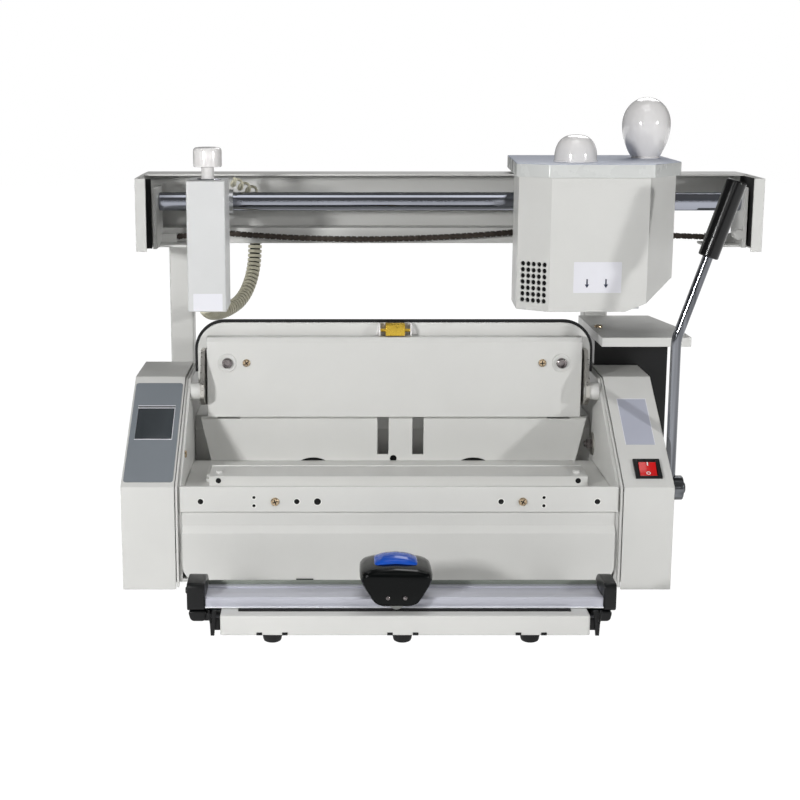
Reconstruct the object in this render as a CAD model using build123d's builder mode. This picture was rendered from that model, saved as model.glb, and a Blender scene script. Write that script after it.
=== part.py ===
from build123d import *
import math
import os

# Desktop perfect binding machine: flip-over book clamp, milling unit and glue unit on a chrome rail,
# closing lever on the right, and a paper creaser standing in front. Millimetres, +Z up, -Y to the front.
# Places are measured from the body: x from its centre line, y from the front of the side covers,
# z from the table. The planes below shift them so that the whole machine is centred on the origin.

os.makedirs("parts", exist_ok=True)

# Clearances
seat = 0.3
running = 0.05
slack = 0.6

# Sheet thicknesses
sheet = 1.5
plate = 3.0
beam_wall = 2.0

# Body
body_half = 206.0
base_bottom = 8.0
base_thick = 2.0
base_front = 6.0
body_back = 343.0
cover_gap = 3.0
cover_width_left = 50.5
cover_width_right = 47.5
cover_bottom = 2.5
cover_bend_z = 103.0
cover_top_y = 134.0
cover_top_z = 184.0
cover_top_end = 222.0
cover_rear_y = 262.0
cover_rear_z = 150.0
foot_radius = 12.0
foot_inset_x = 40.0
foot_inset_y = 45.0

# Fascia, front panel and nip
fascia_top = 103.0
fascia_bottom = 78.0
fascia_overhang = 1.0
panel_bend_z = 59.0
panel_bottom = 10.0
panel_radius = 14.0
table_z = 94.0
table_thick = 2.0
nip_top = 100.0
nip_front_y = 54.0
nip_plane_y = 97.0
nip_inset = 20.0
nip_rear_depth = 14.5
nip_gap = 1.0
crank_radius = 27.0
lever_swing = 75.0
yoke_inset = 66.0

# Power inlet at the back
inlet_width = 27.0
inlet_height = 19.5
inlet_flange_thick = 1.5
inlet_z = 36.0

# Inner wall behind the nip
wall_y = 144.0
wall_top = 138.0
wall_inset_top = 8.0
wall_inset_low = 19.0
wall_hole_radius = 28.5
wall_hole_inset = 103.3
wall_hole_z = 68.5
tab_x = 18.0
tab_depth = 13.0
tab_slot = 11.5

# Clamp, carried on a cross axis and flipped 180 degrees onto the nip
pivot_y = 123.5
pivot_z = 171.0
pivot_radius = 4.0
boss_radius = 8.5
jaw_front = 134.0
jaw_depth = 14.0
jaw_gap = 2.0
jaw_bottom = 142.0
jaw_top = 224.0
jaw_travel = 28.0
back_y = 150.0
back_margin = 4.5
back_top = 237.0
back_bottom = 152.0
back_corner = 28.0
trim_reach = 3.0
trim_bottom = 186.0
arm_thick = 4.0
boss_length = 9.7
guide_inset = 20.5
guide_z = 198.0
guide_radius = 4.0
guide_nut = 3.0
small_screw_inset = 40.0
stop_half = 10.5

# Beam and rail
beam_reach_left = 6.0
beam_reach_right = 127.0
beam_front = 208.0
beam_back = 330.0
beam_top = 380.0
beam_low = 303.0
flange_front = 276.0
ledge_z = 320.0
strip_y = 300.0
cut_x = 300.0
cut_z = 337.0
lip_width = 11.0
post_inset = 19.0
post_width = 26.0
rail_y = 270.0
rail_z = 351.0
rail_radius = 10.0
rail_inset_left = 18.5
rail_inset_right = 9.5
bracket_thick = 4.0
chain_y = 288.0
chain_z = 311.0
chain_pitch = 6.35
chain_width = 3.2
chain_plate = 2.6
chain_waist = 1.7
chain_inset = 14.0

# Milling unit
cutter_x = -188.2
cutter_width = 38.5
cutter_front = 125.0
cutter_depth = 64.0
cutter_bottom = 251.6
cutter_top = 381.2
sleeve_radius = 13.0
motor_y = 145.0
knob_radius = 14.3
knob_height = 19.5
knob_stem_radius = 6.5
knob_stem = 12.5
disc_radius = 15.5
motor_radius = 15.0
motor_length = 68.0

# Ribbed conduit
hose_radius = 7.6
hose_valley = 6.6
hose_bore = 5.2
hose_pitch = 4.8
hose_notch_height = 32.0

# Glue unit, placed by its roller
glue_inset = 53.5
glue_front = 125.0
glue_bottom = 251.5
glue_skirt = 384.8
glue_top = 398.0
lid_overhang = 4.0
vent_radius = 2.4
vent_pitch_z = 6.1
vent_pitch_x = 6.2
dome_offset = -21.7
dome_y = 179.0
dome_radius = 22.2
dome_height = 27.0
egg_offset = 65.3
egg_y = 261.0
egg_radius = 25.4
egg_base_radius = 15.5
egg_widest = 35.7
egg_height = 63.7
roller_z = 285.0
roller_radius = 32.0
roller_front = 132.0
roller_length = 46.0
sprocket_radius = 21.5
sprocket_teeth = 25
shaft_radius = 4.0
tank_height = 46.0

# Drip shelf and electrics box
shelf_z = 222.0
shelf_reach_left = 47.5
shelf_reach_right = 43.5
shelf_front = 146.0
shelf_back = 301.7
shelf_lip = 9.4
box_reach = 31.5

# Lever
lever_y = 60.0
lever_z = 87.0
lever_hub_radius = 12.0
lever_rod_radius = 5.0
lever_rod_inset = 5.5
lever_bend_z = 234.0
lever_lean = 18.5
lever_length = 156.0
grip_radius = 9.8
grip_length = 76.0

# Creaser
crease_half = 160.0
crease_front = -140.0
crease_back = -60.0
crease_bottom = 8.0
crease_foot_radius = 8.0
crease_top = 25.3
rail_beyond = 14.0
crease_rail_front = -120.0
crease_rail_depth = 39.0
crease_rail_height = 9.0
head_x = -7.0
head_top = 64.0

# What follows from the width between the side plates
cover_inner = body_half + plate + cover_gap
cover_left_outer = -(cover_inner + cover_width_left)
cover_right_outer = cover_inner + cover_width_right
fascia_half = body_half + fascia_overhang
nip_half = body_half - nip_inset
yoke_x = nip_half - yoke_inset
wall_half_top = body_half - wall_inset_top
wall_half_low = body_half - wall_inset_low
wall_hole_x = nip_half - wall_hole_inset
arm_inner = body_half - seat - boss_length - arm_thick
jaw_half = arm_inner - jaw_gap
back_half = arm_inner + arm_thick + back_margin
crease_rail_half = crease_half + rail_beyond
guide_x = jaw_half - guide_inset
small_screw_x = jaw_half - small_screw_inset
beam_left = cover_left_outer - beam_reach_left
beam_right = cover_right_outer + beam_reach_right
post_x = cover_inner + post_inset
rail_left = beam_left + rail_inset_left
rail_right = beam_right - rail_inset_right
chain_left = rail_left + chain_inset
chain_links = int((rail_right - chain_left) / chain_pitch) - 4
chain_right = chain_left + chain_links * chain_pitch
roller_x = cover_right_outer - glue_inset
dome_x = roller_x + dome_offset
egg_x = roller_x + egg_offset
shelf_left = cover_right_outer - shelf_reach_left
shelf_right = cover_right_outer + shelf_reach_right
box_right = cover_right_outer + box_reach

# The whole machine is centred on the origin
middle_x = -(beam_left + beam_right) / 2
middle_y = -(crease_front + body_back + inlet_flange_thick) / 2


def level(z):
    """Flat plane at height z: local x is X, local y is Y."""
    return Plane(origin=(middle_x, middle_y, z))


def facing(y):
    """Upright plane at depth y: local x is X, local y is Z. It extrudes towards the front."""
    return Plane(origin=(middle_x, middle_y + y, 0), x_dir=(1, 0, 0), z_dir=(0, -1, 0))


def across(x):
    """Upright plane at x: local x is Y, local y is Z. It extrudes towards +X."""
    return Plane(origin=(middle_x + x, middle_y, 0), x_dir=(0, 1, 0), z_dir=(1, 0, 0))


def box(plane, x0, x1, y0, y1, height):
    """A rectangle between two corners of a plane, extruded by a height."""
    with BuildSketch(plane) as outline:
        with Locations(((x0 + x1) / 2, (y0 + y1) / 2)):
            Rectangle(x1 - x0, y1 - y0)
    extrude(outline.sketch, amount=height)


def rod(plane, x, y, radius, length, mode=Mode.ADD):
    """A round rod standing on a plane at a point."""
    with BuildSketch(plane) as outline:
        with Locations((x, y)):
            Circle(radius)
    extrude(outline.sketch, amount=length, mode=mode)


def polygon(plane, points, height, mode=Mode.ADD):
    """A straight-sided outline on a plane, extruded by a height."""
    with BuildSketch(plane) as outline:
        with BuildLine():
            Polyline(*points, close=True)
        make_face()
    extrude(outline.sketch, amount=height, mode=mode)


# Base plate, on which the side plates, posts and covers stand
base_left = cover_left_outer + sheet
base_right = cover_right_outer - sheet
base_top = base_bottom + base_thick
base_back = body_back - sheet - seat

with BuildPart() as base_plate:
    box(level(base_bottom), base_left, base_right, base_front, base_back, base_thick)
    with BuildSketch(level(base_top)) as base_slots:
        with GridLocations(90, 40, 3, 3):
            with Locations((0, (base_front + body_back) / 2)):
                SlotOverall(40, 6)
    extrude(base_slots.sketch, amount=-base_thick, mode=Mode.SUBTRACT)
base_plate.part.label = "base_plate"
export_step(base_plate.part, "parts/base_plate.step")

# Rubber feet of the body, and pegged feet of the creaser board in front
crease_foot_x = (-115, -2, 109)
crease_foot_y = (crease_front + 9, crease_back - 14)
with BuildPart() as rubber_feet:
    for foot_x in (base_left + foot_inset_x, base_right - foot_inset_x):
        for foot_y in (base_front + foot_inset_y, body_back - foot_inset_y):
            with BuildSketch(level(0)) as foot_base:
                with Locations((foot_x, foot_y)):
                    Circle(foot_radius)
            extrude(foot_base.sketch, amount=base_bottom, taper=6)
    for foot_x in crease_foot_x:
        for foot_y in crease_foot_y:
            rod(level(0), foot_x, foot_y, crease_foot_radius, crease_bottom)
            rod(level(crease_bottom), foot_x, foot_y, crease_foot_radius - 4, crease_top - crease_bottom - 2)
rubber_feet.part.label = "rubber_feet"
export_step(rubber_feet.part, "parts/rubber_feet.step")

# Side plates, which carry the clamp's cross axis and the lever shaft
side_outline = [
    (base_front, base_top), (base_front, cover_bend_z - 2), (cover_top_y, cover_top_z - 2),
    (cover_top_end - 3, cover_top_z - 2), (cover_rear_y - 2, cover_rear_z - 2),
    (body_back, cover_rear_z - 2), (body_back, base_top),
]

for side, side_name in ((-1, "left"), (1, "right")):
    side_x = body_half if side > 0 else -body_half - plate
    with BuildPart() as side_plate:
        polygon(across(side_x), side_outline, plate)
        rod(across(side_x), pivot_y, pivot_z, pivot_radius + running, plate, Mode.SUBTRACT)
        rod(across(side_x), lever_y, lever_z, shaft_radius + running, plate, Mode.SUBTRACT)
    side_plate.part.label = f"side_plate_{side_name}"
    export_step(side_plate.part, f"parts/side_plate_{side_name}.step")

# Side covers: bent sheet shells, open towards the side plate and below
cover_outline = [
    (0, cover_bottom), (0, cover_bend_z), (cover_top_y, cover_top_z), (cover_top_end, cover_top_z),
    (cover_rear_y, cover_rear_z), (body_back, cover_rear_z), (body_back, cover_bottom),
]
post_front = strip_y + beam_wall
post_notch = 1.0


def side_cover(side):
    """A side cover shell; side is 1 on the right and -1 on the left."""
    inner_x = side * cover_inner
    cover_width = cover_width_right if side > 0 else cover_width_left
    with BuildPart() as shell:
        with BuildSketch(across(inner_x)) as outer_face:
            with BuildLine():
                Polyline(*cover_outline, close=True)
            make_face()
        extrude(outer_face.sketch, amount=side * cover_width)
        fillet(shell.edges().filter_by(Axis.X).sort_by(Axis.Z)[-4:], 3)
        with BuildSketch(across(inner_x)) as inner_face:
            with BuildLine():
                Polyline(*cover_outline, close=True)
            make_face()
            offset(amount=-sheet, kind=Kind.INTERSECTION)
        extrude(inner_face.sketch, amount=side * (cover_width - sheet), mode=Mode.SUBTRACT)
        with BuildSketch(level(cover_bottom)) as open_floor:
            with Locations((side * (cover_inner + (cover_width - sheet) / 2), body_back / 2)):
                Rectangle(cover_width - sheet, body_back - 2 * sheet)
        extrude(open_floor.sketch, amount=2 * sheet, mode=Mode.SUBTRACT)
        with BuildSketch(level(cover_rear_z)) as post_hole:
            with Locations((side * post_x, post_front + post_width / 2)):
                Rectangle(post_width + 2 * post_notch, post_width + 2 * post_notch)
        extrude(post_hole.sketch, amount=-3 * sheet, mode=Mode.SUBTRACT)
        if side > 0:
            # The lever shaft leaves through the outer face, and the rocker sits in the slope
            rod(across(cover_inner), lever_y, lever_z, shaft_radius + 1, cover_width, Mode.SUBTRACT)
            with BuildSketch(slope_plane(rocker_x, rocker_along)) as rocker_hole:
                Rectangle(rocker_hole_width, rocker_hole_length)
            extrude(rocker_hole.sketch, amount=-3 * sheet, mode=Mode.SUBTRACT)
        else:
            with BuildSketch(slope_plane(-overlay_x, display_along)) as display_hole:
                Rectangle(display_width, display_length)
            extrude(display_hole.sketch, amount=-3 * sheet, mode=Mode.SUBTRACT)
    return shell


# The sloped control faces
slope_rise = cover_top_z - cover_bend_z
slope_length = math.hypot(cover_top_y, slope_rise)
slope_angle = math.degrees(math.atan2(slope_rise, cover_top_y))
overlay_x = cover_inner + cover_width_left / 2
overlay_width = 47.0
overlay_length = slope_length - 17.0
overlay_shift = -2.0
overlay_thick = 0.6
display_along = 86.5
display_width = 36.0
display_length = 44.0
rocker_x = cover_inner + 25.5
rocker_along = 22.0
rocker_hole_width = 22.0
rocker_hole_length = 19.0
bezel_width = 25.5
bezel_length = 22.0
bezel_thick = 2.2


def slope_plane(x, along, lift=0.0):
    """A plane on the sloped face: local y runs up the slope, and along is measured from its lower bend."""
    run = Vector(0, math.cos(math.radians(slope_angle)), math.sin(math.radians(slope_angle)))
    out = Vector(0, -math.sin(math.radians(slope_angle)), math.cos(math.radians(slope_angle)))
    foot = Vector(middle_x + x, middle_y, cover_bend_z)
    return Plane(origin=foot + run * along + out * lift, x_dir=(1, 0, 0), z_dir=out)


for side, side_name in ((-1, "left"), (1, "right")):
    cover = side_cover(side)
    cover.part.label = f"side_cover_{side_name}"
    export_step(cover.part, f"parts/side_cover_{side_name}.step")

with BuildPart() as control_overlay:
    with BuildSketch(slope_plane(-overlay_x, slope_length / 2 + overlay_shift)) as overlay_face:
        RectangleRounded(overlay_width, overlay_length, 3)
        with Locations((0, display_along - slope_length / 2 - overlay_shift)):
            Rectangle(display_width, display_length, mode=Mode.SUBTRACT)
    extrude(overlay_face.sketch, amount=overlay_thick)
control_overlay.part.label = "control_overlay"
export_step(control_overlay.part, "parts/control_overlay.step")

with BuildPart() as display_screen:
    with BuildSketch(slope_plane(-overlay_x, display_along, -8.0)) as display_module:
        Rectangle(display_width - 2 * seat, display_length - 2 * seat)
    extrude(display_module.sketch, amount=8.0 + overlay_thick / 2)
    with BuildSketch(slope_plane(-overlay_x, display_along, -8.0)) as display_flange:
        Rectangle(display_width + 8, display_length + 8)
    extrude(display_flange.sketch, amount=8.0 - sheet)
display_screen.part.label = "display_screen"
export_step(display_screen.part, "parts/display_screen.step")

with BuildPart() as rocker_bezel:
    with BuildSketch(slope_plane(rocker_x, rocker_along)) as bezel_face:
        RectangleRounded(bezel_width, bezel_length, 1.2)
    extrude(bezel_face.sketch, amount=bezel_thick)
    with BuildSketch(slope_plane(rocker_x, rocker_along, -16.0)) as bezel_body:
        Rectangle(rocker_hole_width - 2 * seat, rocker_hole_length - 2 * seat)
    extrude(bezel_body.sketch, amount=16.0)
    with BuildSketch(slope_plane(rocker_x, rocker_along, -12.0)) as bezel_well:
        Rectangle(rocker_hole_width - 2.4, rocker_hole_length - 2.4)
    extrude(bezel_well.sketch, amount=12.0 + bezel_thick, mode=Mode.SUBTRACT)
rocker_bezel.part.label = "rocker_bezel"
export_step(rocker_bezel.part, "parts/rocker_bezel.step")

# The rocker tips about its cross axis in the bezel: a shallow V seen from its end
rocker_width = rocker_hole_width - 2.4 - 2 * slack
rocker_reach = 7.4
rocker_pivot = -2.0
rocker_tilt = math.radians(slope_angle + 8.0)
with BuildPart() as rocker:
    rocker_side = slope_plane(rocker_x - rocker_width / 2, rocker_along, rocker_pivot)
    rocker_end = Plane(
        origin=rocker_side.origin, x_dir=(0, math.cos(rocker_tilt), math.sin(rocker_tilt)), z_dir=(1, 0, 0)
    )
    with BuildSketch(rocker_end) as rocker_profile:
        with BuildLine():
            Polyline(
                (-rocker_reach, 0), (-rocker_reach, 4.6), (0, 3.6), (rocker_reach, 4.6),
                (rocker_reach, 0), (0, -5.5), close=True,
            )
        make_face()
    extrude(rocker_profile.sketch, amount=rocker_width)
rocker.part.label = "rocker"
export_step(rocker.part, "parts/rocker.step")

with BuildPart() as control_board:
    board_x = -cover_inner
    box(facing(30.0), board_x - 44, board_x - 2, 30, 80, 1.6)
    box(facing(30.0 - 1.6), board_x - 38, board_x - 10, 40, 70, 9)
    box(facing(30.0), board_x - 2, board_x + cover_gap, 50, 60, 1.6)
control_board.part.label = "control_board"
export_step(control_board.part, "parts/control_board.step")

# Front panel: bent sheet between the side plates, with a foot that lies on the base plate
front_half = body_half - seat
panel_top = table_z - table_thick
panel_upper_y = base_front
panel_lower_y = base_front - 3.0
with BuildPart() as front_panel:
    with BuildSketch(across(-front_half)) as panel_profile:
        with BuildLine():
            Polyline(
                (panel_upper_y, panel_top), (panel_upper_y, panel_bend_z + 5), (panel_lower_y, panel_bend_z - 2),
                (panel_lower_y, panel_bottom), (panel_lower_y + 26, panel_bottom),
                (panel_lower_y + 26, panel_bottom + sheet), (panel_lower_y + sheet, panel_bottom + sheet),
                (panel_lower_y + sheet, panel_bend_z - 2), (panel_upper_y + sheet, panel_bend_z + 5),
                (panel_upper_y + sheet, panel_top), close=True,
            )
        make_face()
    extrude(panel_profile.sketch, amount=2 * front_half)
    with BuildSketch(facing(panel_lower_y + sheet)) as panel_corners:
        for corner_side in (-1, 1):
            with Locations((corner_side * (front_half - panel_radius / 2), panel_bottom + panel_radius / 2)):
                Rectangle(panel_radius, panel_radius)
            with Locations((corner_side * (front_half - panel_radius), panel_bottom + panel_radius)):
                Circle(panel_radius, mode=Mode.SUBTRACT)
    extrude(panel_corners.sketch, amount=sheet, mode=Mode.SUBTRACT)
front_panel.part.label = "front_panel"
export_step(front_panel.part, "parts/front_panel.step")

# Fascia strip with its hole pattern, screwed to the front panel
fascia_thick = panel_upper_y - panel_lower_y + 1.0
fascia_y = panel_upper_y - fascia_thick
fascia_hole_z = 88.5
fascia_hole_x = (fascia_half - 19.5, fascia_half - 110.5)
fascia_hole_radius = (2.7, 2.6)
fascia_pin_x = fascia_half - 70.0
fascia_pin_offset = 4.0
fascia_screw_x = fascia_half - 90.0
fascia_extra_x = -(fascia_half - 130.0)
with BuildPart() as fascia_strip:
    box(facing(panel_upper_y), -fascia_half, fascia_half, fascia_bottom, fascia_top, fascia_thick)
    fillet(fascia_strip.edges().filter_by(Axis.X).sort_by(Axis.Y)[:2], 1.0)
    with BuildSketch(facing(fascia_y)) as fascia_holes:
        for hole_side in (-1, 1):
            for hole_x, hole_radius in zip(fascia_hole_x, fascia_hole_radius):
                with Locations((hole_side * hole_x, fascia_hole_z)):
                    Circle(hole_radius)
            for hole_offset in (-fascia_pin_offset, fascia_pin_offset):
                with Locations((hole_side * fascia_pin_x, fascia_hole_z + hole_offset)):
                    Circle(1.6)
            with Locations((hole_side * fascia_screw_x, fascia_hole_z)):
                Circle(2.0)
        with Locations((fascia_extra_x, fascia_hole_z)):
            Circle(3.3)
    extrude(fascia_holes.sketch, amount=-fascia_thick, mode=Mode.SUBTRACT)
fascia_strip.part.label = "fascia_strip"
export_step(fascia_strip.part, "parts/fascia_strip.step")


def pan_screw(plane, x, y, head_radius, head_height, shank_radius, shank_length):
    """A pan head screw whose head stands on a plane, with a cross recess."""
    with BuildSketch(plane) as head_outline:
        with Locations((x, y)):
            Circle(head_radius)
    extrude(head_outline.sketch, amount=head_height, taper=12)
    with BuildSketch(plane) as shank_outline:
        with Locations((x, y)):
            Circle(shank_radius)
    extrude(shank_outline.sketch, amount=-shank_length)
    recess_plane = plane.offset(head_height)
    for recess_turn in (0, 90):
        with BuildSketch(recess_plane) as recess:
            with Locations(Location((x, y), recess_turn)):
                Rectangle(head_radius * 1.1, head_radius * 0.28)
        extrude(recess.sketch, amount=-head_height * 0.55, mode=Mode.SUBTRACT)


shelf_screw = (shelf_left + 8.0, 217.0)
with BuildPart() as body_screws:
    for screw_side in (-1, 1):
        pan_screw(facing(fascia_y), screw_side * fascia_screw_x, fascia_hole_z, 4.0, 2.2, 1.9, fascia_thick)
    pan_screw(level(shelf_z), *shelf_screw, 4.5, 2.4, 1.9, 6)
    pan_screw(level(beam_low).rotated((180, 0, 0)), chain_right + 10, -(rail_y + 4), 4.0, 2.2, 1.9, 5)
body_screws.part.label = "body_screws"
export_step(body_screws.part, "parts/body_screws.step")

# Nip table with slots for the yokes, and its two bars
yoke_thick = 3.0
yoke_front = 99.0
yoke_back = 109.0
nip_travel = crank_radius * math.sin(math.radians(lever_swing))
with BuildPart() as nip_table:
    box(level(table_z), -front_half, front_half, fascia_y + fascia_thick, wall_y - seat, -table_thick)
    with BuildSketch(level(table_z)) as yoke_slots:
        for slot_side in (-1, 1):
            with Locations((slot_side * yoke_x, (yoke_front + yoke_back + nip_travel) / 2)):
                Rectangle(yoke_thick + 2, yoke_back - yoke_front + nip_travel + 3)
    extrude(yoke_slots.sketch, amount=-table_thick, mode=Mode.SUBTRACT)
nip_table.part.label = "nip_table"
export_step(nip_table.part, "parts/nip_table.step")

nip_front_back = nip_plane_y - nip_gap
with BuildPart() as nip_front_bar:
    with BuildSketch(across(-nip_half)) as bar_profile:
        with BuildLine():
            Polyline(
                (nip_front_y, table_z), (nip_front_y, nip_top - 2.5), (nip_front_y + 6, nip_top - 2.5),
                (nip_front_y + 6, nip_top), (nip_front_back, nip_top), (nip_front_back, table_z), close=True,
            )
        make_face()
    extrude(bar_profile.sketch, amount=2 * nip_half)
    fillet(nip_front_bar.edges().filter_by(Axis.X).sort_by(Axis.Z)[-2:], 0.8)
    for pin_side in (-1, 1):
        rod(level(nip_top), pin_side * (nip_half - 9), nip_front_y + 26, 2.5, 2.0)
nip_front_bar.part.label = "nip_front_bar"
export_step(nip_front_bar.part, "parts/nip_front_bar.step")

# The moving bar slides back on the table; a fork under each end is pushed by a crank pin
nip_rear_half = nip_half - 14.0
fork_low = lever_z - crank_radius - 8
fork_open = lever_z - shaft_radius - 2
fork_slot = 7.0
with BuildPart() as nip_rear_bar:
    box(level(table_z + seat), -nip_rear_half, nip_rear_half, nip_plane_y,
        nip_plane_y + nip_rear_depth, nip_top - table_z - seat)
    fillet(nip_rear_bar.edges().filter_by(Axis.X).sort_by(Axis.Z)[-2:], 0.8)
    for yoke_side in (-1, 1):
        yoke_plane = across(yoke_side * yoke_x - yoke_thick / 2)
        polygon(
            yoke_plane,
            [
                (yoke_front, nip_top - 2), (yoke_back, nip_top - 2), (yoke_back, fork_low),
                (lever_y - 14, fork_low), (lever_y - 14, fork_open), (lever_y + 14, fork_open),
                (yoke_front, table_z - 6),
            ],
            yoke_thick,
        )
        with BuildSketch(yoke_plane) as fork_gap:
            with Locations((lever_y, (fork_low + 4 + fork_open) / 2)):
                Rectangle(2 * fork_slot, fork_open - fork_low - 4)
        extrude(fork_gap.sketch, amount=yoke_thick, mode=Mode.SUBTRACT)
nip_rear_bar.part.label = "nip_rear_bar"
export_step(nip_rear_bar.part, "parts/nip_rear_bar.step")

# Inner wall behind the nip: tapered plate with two large holes, a small one and two tabs bent back
tab_low = nip_top + 0.5
with BuildPart() as inner_wall:
    with BuildSketch(facing(wall_y)) as wall_face:
        with BuildLine():
            Polyline(
                (-front_half, base_top), (-front_half, table_z - 6), (-wall_half_low, table_z - 6),
                (-wall_half_top, wall_top), (wall_half_top, wall_top), (wall_half_low, table_z - 6),
                (front_half, table_z - 6), (front_half, base_top), close=True,
            )
        make_face()
        with Locations((-wall_hole_x, wall_hole_z), (wall_hole_x, wall_hole_z)):
            Circle(wall_hole_radius, mode=Mode.SUBTRACT)
        with Locations((0, nip_top - 4)):
            Circle(3.6, mode=Mode.SUBTRACT)
        for slot_x in (-tab_x, tab_x):
            with Locations((slot_x + sheet + tab_slot / 2, (tab_low + wall_top + 1) / 2)):
                Rectangle(tab_slot, wall_top + 1 - tab_low, mode=Mode.SUBTRACT)
    extrude(wall_face.sketch, amount=-sheet)
    for tab_edge in (-tab_x, tab_x):
        box(facing(wall_y + sheet + tab_depth), tab_edge, tab_edge + sheet, tab_low, wall_top - 1,
            tab_depth + sheet)
inner_wall.part.label = "inner_wall"
export_step(inner_wall.part, "parts/inner_wall.step")

# Rear cover: bent sheet over the back of the machine, closed at the back
rear_front = 165.0
rear_top = 135.0
inlet_x = -front_half + 46
with BuildPart() as rear_cover:
    with BuildSketch(across(-front_half)) as rear_profile:
        with BuildLine():
            Polyline(
                (rear_front, base_top), (rear_front, rear_top - 12), (rear_front + 12, rear_top),
                (body_back, rear_top), (body_back, base_top), (body_back - sheet, base_top),
                (body_back - sheet, rear_top - sheet), (rear_front + 12.6, rear_top - sheet),
                (rear_front + sheet, rear_top - 12.6), (rear_front + sheet, base_top), close=True,
            )
        make_face()
    extrude(rear_profile.sketch, amount=2 * front_half)
    with BuildSketch(facing(body_back)) as rear_vents:
        with Locations((-110, 80), (110, 80)):
            with GridLocations(12, 0, 9, 1):
                SlotOverall(36, 4.5, rotation=90)
        with Locations((inlet_x, inlet_z)):
            Rectangle(inlet_width, inlet_height)
    extrude(rear_vents.sketch, amount=2 * sheet, mode=Mode.SUBTRACT)
rear_cover.part.label = "rear_cover"
export_step(rear_cover.part, "parts/rear_cover.step")

with BuildPart() as power_inlet:
    with BuildSketch(facing(body_back + inlet_flange_thick)) as inlet_flange:
        with Locations((inlet_x, inlet_z)):
            RectangleRounded(inlet_width + 8, inlet_height + 8, 3)
    extrude(inlet_flange.sketch, amount=inlet_flange_thick)
    with BuildSketch(facing(body_back)) as inlet_body:
        with Locations((inlet_x, inlet_z)):
            Rectangle(inlet_width - 2 * seat, inlet_height - 2 * seat)
    extrude(inlet_body.sketch, amount=24)
    with BuildSketch(facing(body_back + inlet_flange_thick)) as inlet_well:
        with Locations((inlet_x, inlet_z)):
            RectangleRounded(inlet_width - 4, inlet_height - 4, 2)
    extrude(inlet_well.sketch, amount=18, mode=Mode.SUBTRACT)
    for blade_x in (-7, 0, 7):
        box(facing(body_back - 4), inlet_x + blade_x - 1, inlet_x + blade_x + 1, inlet_z - 3, inlet_z + 3, 13)
power_inlet.part.label = "power_inlet"
export_step(power_inlet.part, "parts/power_inlet.step")

# Clamp: back plate with rounded top corners, black edge trim behind it, end arms and pivots
back_thick = 2.0
trim_thick = 2.0
with BuildPart() as clamp_back_plate:
    box(facing(back_y + back_thick), -back_half, back_half, back_bottom, back_top, back_thick)
    top_corners = clamp_back_plate.edges().filter_by(Axis.Y).group_by(Axis.Z)[-1]
    fillet(top_corners, back_corner)
    for guide_side in (-1, 1):
        rod(facing(back_y + back_thick), guide_side * guide_x, guide_z, guide_radius + running,
            back_thick, Mode.SUBTRACT)
clamp_back_plate.part.label = "clamp_back_plate"
export_step(clamp_back_plate.part, "parts/clamp_back_plate.step")

with BuildPart() as clamp_edge_trim:
    trim_half = back_half + trim_reach
    trim_top = back_top + trim_reach
    box(facing(back_y + back_thick + trim_thick), -trim_half, trim_half, trim_bottom, trim_top, trim_thick)
    fillet(clamp_edge_trim.edges().filter_by(Axis.Y).group_by(Axis.Z)[-1], back_corner + trim_reach)
    for guide_side in (-1, 1):
        rod(facing(back_y + back_thick + trim_thick), guide_side * guide_x, guide_z, guide_radius + running,
            trim_thick, Mode.SUBTRACT)
clamp_edge_trim.part.label = "clamp_edge_trim"
export_step(clamp_edge_trim.part, "parts/clamp_edge_trim.step")

arm_outline = [
    (pivot_y - 10, pivot_z - 6), (pivot_y - 10, pivot_z + 8), (jaw_front, pivot_z + 40),
    (back_y, pivot_z + 40), (back_y, back_bottom), (pivot_y + 4, back_bottom + 4),
]
with BuildPart() as clamp_arms:
    for arm_x in (-arm_inner - arm_thick, arm_inner):
        polygon(across(arm_x), arm_outline, arm_thick)
        rod(across(arm_x), pivot_y, pivot_z, pivot_radius, arm_thick, Mode.SUBTRACT)
    fillet(clamp_arms.edges().filter_by(Axis.X).group_by(Axis.Y)[0], 4)
clamp_arms.part.label = "clamp_arms"
export_step(clamp_arms.part, "parts/clamp_arms.step")

# Each pivot is a turned stub: a boss between arm and side plate, and a pin through the side plate
with BuildPart() as clamp_pivots:
    for side in (-1, 1):
        boss_x = side * (arm_inner + arm_thick)
        rod(across(boss_x), pivot_y, pivot_z, boss_radius,
            side * (body_half - seat - arm_inner - arm_thick))
        rod(across(side * arm_inner), pivot_y, pivot_z, pivot_radius,
            side * (body_half + plate + 1 - arm_inner))
clamp_pivots.part.label = "clamp_pivots"
export_step(clamp_pivots.part, "parts/clamp_pivots.step")

# Stop bracket with two ears above the jaw, holding a brass block
ear_inner = 14.5
ear_thick = 5.0
ear_low = jaw_top + 1
with BuildPart() as stop_bracket:
    for ear_side in (-1, 1):
        ear_x = ear_inner if ear_side > 0 else -ear_inner - ear_thick
        polygon(
            across(ear_x),
            [(jaw_front + 3, ear_low), (jaw_front + 3, ear_low + 6), (jaw_front + 9, back_top - 2),
             (back_y, back_top - 2), (back_y, ear_low)],
            ear_thick,
        )
    box(level(ear_low), -ear_inner, ear_inner, back_y - 3, back_y, 2.5)
stop_bracket.part.label = "stop_bracket"
export_step(stop_bracket.part, "parts/stop_bracket.step")

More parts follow.
